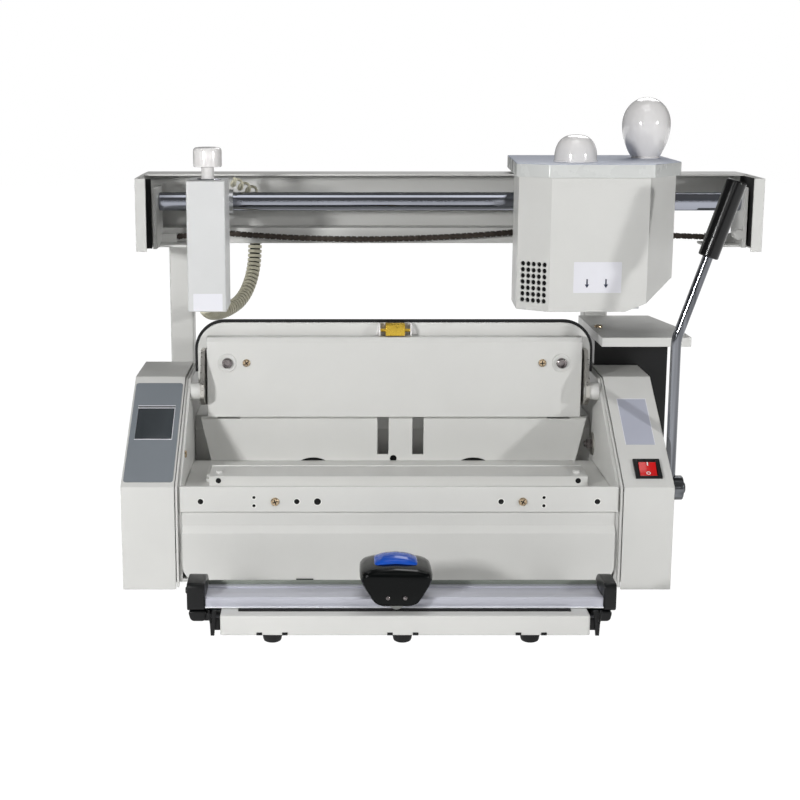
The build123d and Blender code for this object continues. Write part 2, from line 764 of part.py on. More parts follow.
with BuildPart() as brass_stop:
    box(level(ear_low + 2.5), -stop_half, stop_half, jaw_front + 5, back_y, back_top - 3 - ear_low - 2.5)
    chamfer(brass_stop.edges().filter_by(Axis.X).group_by(Axis.Z)[-1], 1.5)
    box(facing(back_y), -2 * stop_half + 9, 2 * stop_half - 9, back_top - 4, back_top + 1, 4)
    with BuildSketch(across(-ear_inner)) as stop_pin:
        with Locations((jaw_front + 11, ear_low + 6)):
            Circle(1.8)
    extrude(stop_pin.sketch, amount=2 * ear_inner)
brass_stop.part.label = "brass_stop"
export_step(brass_stop.part, "parts/brass_stop.step")

guide_end = back_y + back_thick + trim_thick + jaw_travel + 2 * guide_nut
# Jaw: a folded channel that closes on the back plate and slides forward on its guide bolts
with BuildPart() as jaw_panel:
    with BuildSketch(across(-jaw_half)) as jaw_profile:
        with BuildLine():
            Polyline(
                (jaw_front, jaw_bottom), (jaw_front, jaw_top - 4.5), (jaw_front + 2.5, jaw_top),
                (jaw_front + jaw_depth, jaw_top), (jaw_front + jaw_depth, jaw_bottom), close=True,
            )
        make_face()
    extrude(jaw_profile.sketch, amount=2 * jaw_half)
    with BuildSketch(across(-jaw_half + sheet)) as jaw_hollow:
        with BuildLine():
            Polyline(
                (jaw_front + sheet, jaw_bottom + sheet), (jaw_front + sheet, jaw_top - 5),
                (jaw_front + 3.2, jaw_top - sheet), (jaw_front + jaw_depth - 3, jaw_top - sheet),
                (jaw_front + jaw_depth - 3, jaw_bottom + sheet), close=True,
            )
        make_face()
    extrude(jaw_hollow.sketch, amount=2 * (jaw_half - sheet), mode=Mode.SUBTRACT)
    for bolt_side in (-1, 1):
        rod(facing(jaw_front + jaw_depth), bolt_side * guide_x, guide_z, guide_radius,
            jaw_depth, Mode.SUBTRACT)
        rod(facing(jaw_front + sheet), bolt_side * small_screw_x, guide_z, 2.2, sheet, Mode.SUBTRACT)
jaw_panel.part.label = "jaw_panel"
export_step(jaw_panel.part, "parts/jaw_panel.step")

with BuildPart() as jaw_guide_bolts:
    for bolt_side in (-1, 1):
        bolt_x = bolt_side * guide_x
        rod(facing(guide_end), bolt_x, guide_z, guide_radius, guide_end - jaw_front)
        rod(facing(jaw_front), bolt_x, guide_z, 9.5, 0.8)
        rod(facing(jaw_front - 0.8), bolt_x, guide_z, 5.2, 3.5)
        with BuildSketch(facing(jaw_front - 4.3)) as socket:
            with Locations((bolt_x, guide_z)):
                RegularPolygon(2.8, 6)
        extrude(socket.sketch, amount=-2.6, mode=Mode.SUBTRACT)
        rod(facing(guide_end), bolt_x, guide_z, 7.0, guide_nut)
jaw_guide_bolts.part.label = "jaw_guide_bolts"
export_step(jaw_guide_bolts.part, "parts/jaw_guide_bolts.step")

with BuildPart() as jaw_screws:
    for screw_side in (-1, 1):
        pan_screw(facing(jaw_front), screw_side * small_screw_x, guide_z, 4.0, 2.2, 2.1, sheet)
jaw_screws.part.label = "jaw_screws"
export_step(jaw_screws.part, "parts/jaw_screws.step")

# Beam housing: long open-fronted sheet channel with end plates and front lips
with BuildPart() as beam_housing:
    with BuildSketch(across(beam_left)) as beam_profile:
        with BuildLine():
            Polyline(
                (flange_front, beam_top), (beam_back, beam_top), (beam_back, beam_low),
                (beam_back - beam_wall, beam_low), (beam_back - beam_wall, ledge_z - beam_wall),
                (strip_y + beam_wall, ledge_z - beam_wall), (strip_y + beam_wall, beam_low),
                (strip_y, beam_low), (strip_y, ledge_z), (beam_back - beam_wall, ledge_z),
                (beam_back - beam_wall, beam_top - beam_wall), (flange_front, beam_top - beam_wall), close=True,
            )
        make_face()
    extrude(beam_profile.sketch, amount=beam_right - beam_left)
    with BuildSketch(facing(beam_back)) as beam_cut:
        with Locations(((cut_x + beam_right - beam_wall) / 2, (beam_low + cut_z) / 2)):
            Rectangle(beam_right - beam_wall - cut_x, cut_z - beam_low)
    extrude(beam_cut.sketch, amount=beam_back - strip_y, mode=Mode.SUBTRACT)
    for end_x in (beam_left, beam_right - beam_wall):
        polygon(
            across(end_x),
            [(beam_front, beam_low), (beam_front, beam_top - 1), (flange_front, beam_top),
             (beam_back, beam_top), (beam_back, beam_low)],
            beam_wall,
        )
    box(facing(beam_front + beam_wall), beam_left, beam_left + lip_width, beam_low, beam_top - 1, beam_wall)
    box(facing(beam_front + beam_wall), beam_right - lip_width, beam_right, beam_low, beam_top - 1, beam_wall)
beam_housing.part.label = "beam_housing"
export_step(beam_housing.part, "parts/beam_housing.step")

# Square posts from the base plate up to the beam's ledge
post_top = ledge_z - beam_wall
with BuildPart() as posts:
    with BuildSketch(level(base_top)) as post_section:
        for side in (-1, 1):
            with Locations((side * post_x, post_front + post_width / 2)):
                RectangleRounded(post_width, post_width, 2.5)
                Rectangle(post_width - 2 * beam_wall, post_width - 2 * beam_wall, mode=Mode.SUBTRACT)
    extrude(post_section.sketch, amount=post_top - base_top)
posts.part.label = "posts"
export_step(posts.part, "parts/posts.step")

# Rail brackets: an upright plate at each end of the rail, a tray that meets the beam's end plate,
# and a clevis that holds the end of the chain
bracket_front_left = 236.0
bracket_front_right = 250.0
tray_thick = 2.5
clevis_half = 4.0
stop_boss_radius = 5.5
stop_boss_length = 12.0
with BuildPart() as rail_brackets:
    box(across(rail_left), bracket_front_left, strip_y, beam_low, rail_z + 16, -bracket_thick)
    box(level(beam_low), beam_left + beam_wall, chain_left + 16, bracket_front_left + 20, strip_y, tray_thick)
    box(facing(chain_y + clevis_half), rail_left, chain_left + chain_plate, beam_low, chain_z + clevis_half,
        2 * clevis_half)
    box(across(rail_right), bracket_front_right, strip_y, beam_low, rail_z + 16, bracket_thick)
    box(level(beam_low), chain_right - 8, beam_right - beam_wall, bracket_front_right + 8, strip_y, tray_thick)
    box(facing(chain_y + clevis_half), chain_right - chain_plate, rail_right, beam_low, chain_z + clevis_half,
        2 * clevis_half)
    with BuildSketch(facing(chain_y + chain_width / 2)) as clevis_slot:
        with Locations(((chain_left + chain_right) / 2, chain_z + seat)):
            Rectangle(chain_right - chain_left + 2 * chain_plate, 2 * chain_plate + 2 * seat)
    extrude(clevis_slot.sketch, amount=chain_width, mode=Mode.SUBTRACT)
    rod(facing(bracket_front_right + stop_boss_length), rail_right - 4, chain_z + 6,
        stop_boss_radius, stop_boss_length)
    rod(level(beam_low), chain_right + 10, rail_y + 4, 2.0, tray_thick, Mode.SUBTRACT)
rail_brackets.part.label = "rail_brackets"
export_step(rail_brackets.part, "parts/rail_brackets.step")

with BuildPart() as guide_rail:
    rod(across(rail_left), rail_y, rail_z, rail_radius, rail_right - rail_left)
    chamfer(guide_rail.edges().filter_by(GeomType.CIRCLE), 0.8)
guide_rail.part.label = "guide_rail"
export_step(guide_rail.part, "parts/guide_rail.step")

# Roller chain stretched between two anchors: alternate links seen from the front
with BuildPart() as roller_chain:
    with BuildSketch(facing(chain_y + chain_width / 2)) as chain_side:
        with Locations(((chain_left + chain_right) / 2, chain_z)):
            Rectangle(chain_right - chain_left, 2 * chain_waist)
        with Locations(*[(chain_left + link * chain_pitch, chain_z) for link in range(chain_links + 1)]):
            Circle(chain_plate)
    extrude(chain_side.sketch, amount=chain_width)
roller_chain.part.label = "roller_chain"
export_step(roller_chain.part, "parts/roller_chain.step")

# Milling unit: tall sheet box, sleeve on the rail, motor with its disc, and the cap knob
cutter_left = cutter_x - cutter_width / 2
cutter_right = cutter_x + cutter_width / 2
cutter_back = cutter_front + cutter_depth
hose_route = [
    (-149, 315, 316), (-149, 315, 292), (-152, 306, 265), (-161, 284, 244), (-174, 256, 236),
    (-187, 227, 235), (-194, 204, 240), (-197, 186, 251), (-198, 178, 268),
]
with BuildPart() as cutter_box:
    with BuildSketch(level(cutter_bottom)) as cutter_plan:
        with Locations((cutter_x, cutter_front + cutter_depth / 2)):
            Rectangle(cutter_width, cutter_depth)
    extrude(cutter_plan.sketch, amount=cutter_top - cutter_bottom)
    fillet(cutter_box.edges().filter_by(Axis.Z), 1.6)
    with BuildSketch(level(cutter_bottom)) as cutter_room:
        with Locations((cutter_x, cutter_front + cutter_depth / 2)):
            Rectangle(cutter_width - 2 * sheet, cutter_depth - 2 * sheet)
    extrude(cutter_room.sketch, amount=cutter_top - cutter_bottom - sheet, mode=Mode.SUBTRACT)
    rod(level(cutter_top), cutter_x, motor_y + 12, 4 + running, -sheet, Mode.SUBTRACT)
    with BuildSketch(facing(cutter_back)) as hose_notch:
        with Locations((hose_route[-2][0], cutter_bottom + 2)):
            Rectangle(2 * hose_radius + 2, hose_notch_height)
    extrude(hose_notch.sketch, amount=sheet, mode=Mode.SUBTRACT)
cutter_box.part.label = "cutter_box"
export_step(cutter_box.part, "parts/cutter_box.step")


def rail_sleeve(x0, x1, arm_x0, arm_x1, front):
    """A sleeve bored for the rail, an arm to the unit in front, and a shoe over the beam's ledge."""
    rod(across(x0), rail_y, rail_z, sleeve_radius, x1 - x0)
    box(level(rail_z - 12), arm_x0, arm_x1, front, rail_y, 24)
    box(level(ledge_z + seat), arm_x0 + 4, arm_x1 - 4, rail_y + 4, beam_back - beam_wall - 2, 8)
    box(level(ledge_z + seat), arm_x0 + 4, arm_x1 - 4, rail_y + 4, rail_y + 12, rail_z - ledge_z - 4)
    rod(across(x0), rail_y, rail_z, rail_radius + running, x1 - x0, Mode.SUBTRACT)


with BuildPart() as cutter_sleeve:
    rail_sleeve(cutter_left + 1, cutter_right - 1, cutter_x - 12, cutter_x + 12, cutter_back)
cutter_sleeve.part.label = "cutter_sleeve"
export_step(cutter_sleeve.part, "parts/cutter_sleeve.step")

motor_bottom = cutter_bottom + 16
with BuildPart() as cutter_motor:
    rod(level(motor_bottom), cutter_x, motor_y, motor_radius, motor_length)
    with BuildSketch(level(motor_bottom)) as motor_plate:
        with Locations((cutter_x, motor_y + 1)):
            Rectangle(cutter_width - 2 * sheet, 2 * (motor_y + 1 - cutter_front - sheet))
    extrude(motor_plate.sketch, amount=3)
    rod(level(motor_bottom), cutter_x, motor_y, 3 + running, 8, Mode.SUBTRACT)
cutter_motor.part.label = "cutter_motor"
export_step(cutter_motor.part, "parts/cutter_motor.step")

with BuildPart() as milling_disc:
    rod(level(cutter_bottom + 1), cutter_x, motor_y, disc_radius, 3)
    rod(level(cutter_bottom + 1), cutter_x, motor_y, 7, 10)
    rod(level(cutter_bottom + 1), cutter_x, motor_y, 3, motor_bottom + 6 - cutter_bottom)
    with BuildSketch(level(cutter_bottom + 1)) as disc_teeth:
        with Locations((cutter_x, motor_y)):
            with PolarLocations(disc_radius, 8):
                Rectangle(3, 2)
    extrude(disc_teeth.sketch, amount=3, mode=Mode.SUBTRACT)
milling_disc.part.label = "milling_disc"
export_step(milling_disc.part, "parts/milling_disc.step")

with BuildPart() as cutter_knob:
    knob_y = motor_y + 12
    rod(level(cutter_top + seat), cutter_x, knob_y, knob_stem_radius, knob_stem)
    rod(level(cutter_top + knob_stem), cutter_x, knob_y, knob_radius, knob_height)
    fillet(cutter_knob.edges().filter_by(GeomType.CIRCLE).group_by(Axis.Z)[-1], 3.5)
    rod(level(cutter_top + seat), cutter_x, knob_y, 4, -12)
cutter_knob.part.label = "cutter_knob"
export_step(cutter_knob.part, "parts/cutter_knob.step")

# Ribbed conduit from the channel under the beam, forward and down, and up into the milling box
hose_points = [Vector(middle_x + x, middle_y + y, z) for x, y, z in hose_route]
hose_radii = []
for before, corner, after in zip(hose_points, hose_points[1:], hose_points[2:]):
    run_in = corner - before
    run_out = after - corner
    half_turn = math.radians(run_in.get_angle(run_out)) / 2
    hose_radii.append(0.45 * min(run_in.length, run_out.length) / math.tan(half_turn))
print("conduit radii", [round(radius, 1) for radius in hose_radii])
with BuildLine() as hose_line:
    FilletPolyline(*hose_points, radius=hose_radii)
hose_path = hose_line.wires()[0]
hose_length = hose_path.length
rib_count = int(hose_length / hose_pitch)
print("conduit length", round(hose_length, 1), "ribs", rib_count)


def hose_ring(distance, radius):
    """A circle square to the conduit at a distance along it, on a steady X axis."""
    tangent = hose_path.tangent_at(distance / hose_length)
    centre = hose_path.position_at(distance / hose_length)
    steady = Vector(1, 0, 0) - tangent * tangent.X
    with BuildSketch(Plane(origin=centre, x_dir=steady, z_dir=tangent)) as ring:
        Circle(radius)
    return ring.sketch.face()


rib_step = hose_length / rib_count
rib_rings = []
bore_rings = []
for rib in range(rib_count):
    rib_start = rib * rib_step
    rib_rings.append(hose_ring(rib_start, hose_valley))
    rib_rings.append(hose_ring(rib_start + 0.16 * rib_step, hose_radius))
    rib_rings.append(hose_ring(rib_start + 0.74 * rib_step, hose_radius))
    rib_rings.append(hose_ring(rib_start + 0.90 * rib_step, hose_valley))
    bore_rings.append(hose_ring(rib_start, hose_bore))
rib_rings.append(hose_ring(hose_length, hose_valley))
bore_rings.append(hose_ring(hose_length, hose_bore))
with BuildPart() as conduit:
    loft(rib_rings, ruled=True)
    loft(bore_rings, ruled=True, mode=Mode.SUBTRACT)
conduit.part.label = "conduit"
export_step(conduit.part, "parts/conduit.step")

# Glue unit: housing with chamfered corners, vent holes and a cut lower right corner
glue_back = 215.0
glue_plan = [
    (roller_x + x, y) for x, y in
    ((-52.5, glue_front), (45, glue_front), (81, 178), (84, glue_back), (-79.5, glue_back), (-82.5, 148))
]
lid_front = glue_front - lid_overhang
lid_plan = [
    (roller_x + x, y) for x, y in
    ((-55.5, lid_front), (48, lid_front), (86, 177), (94, 330), (-74, 330), (-85.5, 144))
]
glue_cut = [
    (roller_x + x, glue_bottom + z) for x, z in
    ((24, 0), (45, 8.5), (81, 28.5), (94, 34.5), (94, -5), (24, -5))
]
with BuildPart() as glue_housing:
    polygon(level(glue_bottom), glue_plan, glue_skirt - glue_bottom)
    with BuildSketch(level(glue_bottom)) as glue_room:
        with BuildLine():
            Polyline(*glue_plan, close=True)
        make_face()
        offset(amount=-sheet, kind=Kind.INTERSECTION)
    extrude(glue_room.sketch, amount=glue_skirt - glue_bottom, mode=Mode.SUBTRACT)
    polygon(facing(glue_back + 5), glue_cut, glue_back - glue_front + 10, Mode.SUBTRACT)
    vent_start = Vector(middle_x + glue_plan[5][0], middle_y + glue_plan[5][1], 0)
    vent_end = Vector(middle_x + glue_plan[0][0], middle_y + glue_plan[0][1], 0)
    vent_run = (vent_end - vent_start).normalized()
    vent_middle = (vent_start + vent_end) * 0.5 + Vector(0, 0, 280) + vent_run * 0.5
    vent_out = Vector(vent_run.Y, -vent_run.X, 0)
    with BuildSketch(Plane(origin=vent_middle, x_dir=vent_run, z_dir=vent_out)) as vents:
        with GridLocations(vent_pitch_x, vent_pitch_z, 5, 7):
            Circle(vent_radius)
    extrude(vents.sketch, amount=4, both=True, mode=Mode.SUBTRACT)
    rod(facing(glue_back + 1), roller_x, roller_z, shaft_radius + 1.5, 3, Mode.SUBTRACT)
glue_housing.part.label = "glue_housing"
export_step(glue_housing.part, "parts/glue_housing.step")

with BuildPart() as glue_lid:
    polygon(level(glue_skirt), lid_plan, glue_top - glue_skirt)
    fillet(glue_lid.edges().filter_by(Axis.Z), 1.0)
    with BuildSketch(level(glue_skirt)) as lid_room:
        with BuildLine():
            Polyline(*lid_plan, close=True)
        make_face()
        offset(amount=-sheet, kind=Kind.INTERSECTION)
    extrude(lid_room.sketch, amount=glue_top - glue_skirt - sheet, mode=Mode.SUBTRACT)
    for rib_y in (glue_front + 30, glue_back - 1):
        box(level(glue_skirt), roller_x - 61, roller_x + 64, rib_y - 1, rib_y, glue_top - glue_skirt - sheet)
    rod(level(glue_top), dome_x, dome_y, 15, -sheet, Mode.SUBTRACT)
    rod(level(glue_top), egg_x, egg_y, 4, -sheet, Mode.SUBTRACT)
glue_lid.part.label = "glue_lid"
export_step(glue_lid.part, "parts/glue_lid.step")

# Dome cap over the filling hole
with BuildPart() as fill_cap:
    with BuildSketch(facing(dome_y)) as dome_profile:
        with BuildLine():
            dome_shoulder = (dome_x + dome_radius * 0.78, glue_top + dome_height * 0.66)
            Line((dome_x, glue_top), (dome_x + dome_radius, glue_top))
            Spline((dome_x + dome_radius, glue_top), dome_shoulder, (dome_x, glue_top + dome_height),
                   tangents=[(0, 1), (-1, 0)])
            Line((dome_x, glue_top + dome_height), (dome_x, glue_top))
        make_face()
    revolve(dome_profile.sketch, axis=Axis((middle_x + dome_x, middle_y + dome_y, 0), (0, 0, 1)))
    rod(level(glue_top), dome_x, dome_y, 14.5, -6)
fill_cap.part.label = "fill_cap"
export_step(fill_cap.part, "parts/fill_cap.step")

# Egg-shaped handle on a stud through the lid
with BuildPart() as egg_knob:
    with BuildSketch(facing(egg_y)) as egg_profile:
        with BuildLine():
            Line((egg_x, glue_top), (egg_x + egg_base_radius, glue_top))
            Line((egg_x + egg_base_radius, glue_top), (egg_x + egg_base_radius, glue_top + 2))
            Spline((egg_x + egg_base_radius, glue_top + 2), (egg_x + egg_radius, glue_top + egg_widest),
                   (egg_x, glue_top + egg_height), tangents=[(0.25, 1), (-1, 0)])
            Line((egg_x, glue_top + egg_height), (egg_x, glue_top))
        make_face()
    revolve(egg_profile.sketch, axis=Axis((middle_x + egg_x, middle_y + egg_y, 0), (0, 0, 1)))
    rod(level(glue_top), egg_x, egg_y, 4, -8)
egg_knob.part.label = "egg_knob"
export_step(egg_knob.part, "parts/egg_knob.step")

hanger_y = 240.0
glue_arm_half = 26.0
lid_strut_half = 16.0
with BuildPart() as glue_sleeve:
    rail_sleeve(roller_x - 73, roller_x + 79, roller_x - glue_arm_half, roller_x + glue_arm_half, glue_back)
    box(level(roller_z - 12), roller_x - 12, roller_x + 12, hanger_y, hanger_y + 10, rail_z - 12 - roller_z + 14)
    rod(facing(hanger_y + 10), roller_x, roller_z, shaft_radius + running, 10, Mode.SUBTRACT)
    box(level(rail_z + 10), roller_x - lid_strut_half, roller_x + lid_strut_half, rail_y - 20, rail_y - 6,
        glue_top - sheet - rail_z - 10)
glue_sleeve.part.label = "glue_sleeve"
export_step(glue_sleeve.part, "parts/glue_sleeve.step")

# Heated tank around the roller, open below where the roller meets the spine
tank_gap = 3.0
tank_wall = 3.0
tank_half = roller_radius + tank_gap + tank_wall
tank_back = roller_front + roller_length + tank_gap + tank_wall
tank_tab_low = glue_bottom + 40.0
tank_tab_width = 10.0
with BuildPart() as glue_tank:
    box(level(glue_bottom + 3), roller_x - tank_half, roller_x + tank_half,
        glue_front + sheet, tank_back, tank_height)
    with BuildSketch(level(glue_bottom)) as tank_room:
        with Locations((roller_x, roller_front + roller_length / 2)):
            Rectangle(2 * (roller_radius + tank_gap), roller_length + 2 * tank_gap)
    extrude(tank_room.sketch, amount=tank_height + 3, mode=Mode.SUBTRACT)
    rod(facing(tank_back), roller_x, roller_z, shaft_radius + running, tank_wall, Mode.SUBTRACT)
    for tab_left in (roller_x - tank_half, roller_x + tank_half - tank_tab_width):
        box(level(tank_tab_low), tab_left, tab_left + tank_tab_width, tank_back, glue_back - sheet,
            glue_bottom + 3 + tank_height - tank_tab_low)
glue_tank.part.label = "glue_tank"
export_step(glue_tank.part, "parts/glue_tank.step")

with BuildPart() as glue_roller:
    rod(facing(roller_front + roller_length), roller_x, roller_z, roller_radius, roller_length)
    rod(facing(chain_y + 2), roller_x, roller_z, shaft_radius, chain_y + 2 - roller_front)
    with BuildSketch(facing(roller_front + roller_length)) as roller_grooves:
        with Locations((roller_x, roller_z)):
            with PolarLocations(roller_radius, 24):
                Circle(1.0)
    extrude(roller_grooves.sketch, amount=roller_length, mode=Mode.SUBTRACT)
    with BuildSketch(facing(chain_y + 1.2)) as sprocket_face:
        with Locations((roller_x, roller_z)):
            Circle(sprocket_radius)
            with PolarLocations(sprocket_radius, sprocket_teeth):
                Circle(1.5, mode=Mode.SUBTRACT)
    extrude(sprocket_face.sketch, amount=2.4)
glue_roller.part.label = "glue_roller"
export_step(glue_roller.part, "parts/glue_roller.step")

# Drip shelf under the parked glue unit, on a black electrics box beside the right cover
shelf_plan = [
    (shelf_left, shelf_front), (shelf_right, shelf_front), (shelf_right, 224), (shelf_right - 13, shelf_back),
    (shelf_left, shelf_back),
]
with BuildPart() as drip_shelf:
    polygon(level(shelf_z), shelf_plan, -shelf_lip)
    with BuildSketch(level(shelf_z - sheet)) as shelf_room:
        with BuildLine():
            Polyline(*shelf_plan, close=True)
        make_face()
        offset(amount=-sheet, kind=Kind.INTERSECTION)
    extrude(shelf_room.sketch, amount=-shelf_lip, mode=Mode.SUBTRACT)
    rod(level(shelf_z), *shelf_screw, 1.9, -sheet, Mode.SUBTRACT)
drip_shelf.part.label = "drip_shelf"
export_step(drip_shelf.part, "parts/drip_shelf.step")

box_front = 200.0
box_back = 286.0
box_left = shelf_left + sheet + seat
box_low = 104.0
box_wall = 2.0
box_outline = [
    (box_left, cover_top_z), (box_left, shelf_z - sheet), (box_right, shelf_z - sheet),
    (box_right, box_low), (cover_right_outer, box_low), (cover_right_outer, cover_top_z),
]
with BuildPart() as electrics_box:
    polygon(facing(box_back), box_outline, box_back - box_front)
    with BuildSketch(facing(box_back)) as box_room:
        with BuildLine():
            Polyline(*box_outline, close=True)
        make_face()
        offset(amount=-box_wall, kind=Kind.INTERSECTION)
    extrude(box_room.sketch, amount=box_back - box_front - box_wall, mode=Mode.SUBTRACT)
    rod(level(shelf_z - sheet), *shelf_screw, 1.9, -box_wall, Mode.SUBTRACT)
electrics_box.part.label = "electrics_box"
export_step(electrics_box.part, "parts/electrics_box.step")

# Lever: cross shaft with two cranks and a hub, bent chrome rod, black grip
hub_x = cover_right_outer + 3.0
hub_length = 17.5
lever_rod_x = hub_x + lever_rod_inset
with BuildPart() as lever_shaft:
    rod(across(-body_half - plate - 1), lever_y, lever_z, shaft_radius, hub_x + body_half + plate + 1)
    rod(across(hub_x), lever_y, lever_z, lever_hub_radius, hub_length)
    fillet(lever_shaft.edges().filter_by(GeomType.CIRCLE).group_by(Axis.X)[-1], 1.2)
    rod(across(hub_x + hub_length), lever_y, lever_z, 5.0, 2.5)
    for crank_side in (-1, 1):
        crank_x = crank_side * (yoke_x + 7)
        with BuildSketch(across(crank_x - 2)) as crank_face:
            with Locations((lever_y, lever_z - crank_radius / 2)):
                SlotCenterToCenter(crank_radius, 9, rotation=90)
        extrude(crank_face.sketch, amount=4)
        rod(across(crank_x), lever_y, lever_z - crank_radius, 3.0, -crank_side * 11)
    rod(level(lever_z), lever_rod_x, lever_y, lever_rod_radius, lever_hub_radius + 1, Mode.SUBTRACT)
lever_shaft.part.label = "lever_shaft"
export_step(lever_shaft.part, "parts/lever_shaft.step")

lean = math.radians(lever_lean)
lean_direction = Vector(math.sin(lean), 0, math.cos(lean))
rod_foot = Vector(middle_x + lever_rod_x, middle_y + lever_y, lever_z)
rod_bend = Vector(middle_x + lever_rod_x, middle_y + lever_y, lever_bend_z)
rod_tip = rod_bend + lean_direction * lever_length
with BuildPart() as lever_rod:
    with BuildLine() as rod_line:
        FilletPolyline(rod_foot, rod_bend, rod_tip, radius=45)
    with BuildSketch(Plane(origin=rod_foot, x_dir=(1, 0, 0), z_dir=(0, 0, 1))) as rod_section:
        Circle(lever_rod_radius)
    sweep(rod_section.sketch, path=rod_line.wires()[0])
lever_rod.part.label = "lever_rod"
export_step(lever_rod.part, "parts/lever_rod.step")

grip_start = rod_tip - lean_direction * (grip_length - 4)
with BuildPart() as lever_grip:
    with BuildSketch(Plane(origin=grip_start, x_dir=(0, 1, 0), z_dir=lean_direction)) as grip_section:
        Circle(grip_radius)
    extrude(grip_section.sketch, amount=grip_length)
    fillet(lever_grip.edges().filter_by(GeomType.CIRCLE), 1.5)
    with BuildSketch(Plane(origin=grip_start, x_dir=(0, 1, 0), z_dir=lean_direction)) as grip_bore:
        Circle(lever_rod_radius)
    extrude(grip_bore.sketch, amount=grip_length - 4, mode=Mode.SUBTRACT)
lever_grip.part.label = "lever_grip"
export_step(lever_grip.part, "parts/lever_grip.step")

# Creaser: painted tray board, black cutting strip, and side brackets strapped to the base plate
strip_low_y = crease_front + 12.0
strip_width = 7.0
strip_thick = 0.6
strip_half = 145.0
with BuildPart() as crease_board:
    box(level(crease_bottom), -crease_half, crease_half, crease_front, crease_back, crease_top - crease_bottom)
    fillet(crease_board.edges().filter_by(Axis.Z), 3)
    fillet(crease_board.edges().group_by(Axis.Z)[-1], 1.5)
    with BuildSketch(level(crease_bottom)) as board_room:
        with Locations((0, (crease_front + crease_back) / 2)):
            Rectangle(2 * crease_half - 4, crease_back - crease_front - 4)
    extrude(board_room.sketch, amount=crease_top - crease_bottom - 2, mode=Mode.SUBTRACT)
crease_board.part.label = "crease_board"
export_step(crease_board.part, "parts/crease_board.step")

with BuildPart() as crease_strip:
    with BuildSketch(level(crease_top)) as strip_face:
        with Locations((0, strip_low_y + strip_width / 2)):
            RectangleRounded(2 * strip_half, strip_width, 1.0)
    extrude(strip_face.sketch, amount=strip_thick)
crease_strip.part.label = "crease_strip"
export_step(crease_strip.part, "parts/crease_strip.step")

rail_low = crease_top + 0.8
rail_front = crease_rail_front
rail_rear = crease_rail_front + crease_rail_depth
hinge_y = rail_rear + 2.0
hinge_z = rail_low + 2.2
cap_width = 14.0
cap_low = rail_low - 3.0
cap_high = rail_low + 21.5
hinge_radius = 2.5
crease_ear_x = crease_rail_half + cap_width + seat
crease_ear_thick = 5.0
clip_width = 10.0
strap_width = 30.0
strap_thick = 3.0
bracket_low = 13.0
bracket_top = cap_low - seat
with BuildPart() as crease_brackets:
    for side in (-1, 1):
        x_board = side * crease_half
        x_base = side * (crease_half + clip_width)
        x_lug = side * crease_ear_x
        x_out = side * (crease_ear_x + crease_ear_thick)
        x_strap = side * (crease_half - strap_width)
        box(level(bracket_low), min(x_base, x_lug), max(x_base, x_lug), rail_front - 2, rail_rear + 6,
            bracket_top - bracket_low)
        box(level(bracket_low), min(x_lug, x_out), max(x_lug, x_out), hinge_y - 6, hinge_y + 6,
            hinge_z + 6 - bracket_low)
        box(level(crease_bottom), min(x_board, x_base), max(x_board, x_base), crease_front + 4,
            rail_front + 8, bracket_top - crease_bottom)
        box(level(crease_bottom - strap_thick), min(x_board, x_strap), max(x_board, x_strap),
            crease_back - 15, base_front + 24, strap_thick)
        rod(across(x_lug), hinge_y, hinge_z, hinge_radius + running, side * crease_ear_thick, Mode.SUBTRACT)
crease_brackets.part.label = "crease_brackets"
export_step(crease_brackets.part, "parts/crease_brackets.step")

with BuildPart() as crease_rail:
    with BuildSketch(across(-crease_rail_half)) as rail_profile:
        with BuildLine():
            Polyline(
                (rail_front, rail_low), (rail_front, rail_low + crease_rail_height - 1.5),
                (rail_front + 1.5, rail_low + crease_rail_height),
                (rail_front + 8, rail_low + crease_rail_height),
                (rail_front + 8, rail_low + crease_rail_height - 1.2),
                (rail_rear - 8, rail_low + crease_rail_height - 1.2),
                (rail_rear - 8, rail_low + crease_rail_height),
                (rail_rear, rail_low + crease_rail_height), (rail_rear, rail_low), close=True,
            )
        make_face()
        with Locations((rail_front + 13, rail_low + 3.8), (rail_rear - 13, rail_low + 3.8)):
            Rectangle(10, 3.6, mode=Mode.SUBTRACT)
    extrude(rail_profile.sketch, amount=2 * crease_rail_half)
crease_rail.part.label = "crease_rail"
export_step(crease_rail.part, "parts/crease_rail.step")

with BuildPart() as crease_end_caps:
    for side in (-1, 1):
        cap_plane = across(side * crease_rail_half)
        with BuildSketch(cap_plane) as cap_face:
            with BuildLine():
                Polyline(
                    (rail_front - 2, cap_low), (rail_front - 2, cap_high - 1), (rail_front - 1, cap_high),
                    (hinge_y - 14, cap_high), (hinge_y - 6, cap_high - 3), (hinge_y, cap_high - 8),
                    (hinge_y + 4, hinge_z + 4), (hinge_y, hinge_z), (hinge_y - 2, cap_low), close=True,
                )
            make_face()
            with Locations((hinge_y, hinge_z)):
                Circle(2 * hinge_radius)
        extrude(cap_face.sketch, amount=side * cap_width)
        rod(cap_plane, hinge_y, hinge_z, hinge_radius, side * (crease_ear_x + crease_ear_thick + seat - crease_rail_half))
        rod(across(side * (crease_ear_x + crease_ear_thick + seat)), hinge_y, hinge_z, hinge_radius + 0.8, side * 5)
crease_end_caps.part.label = "crease_end_caps"
export_step(crease_end_caps.part, "parts/crease_end_caps.step")

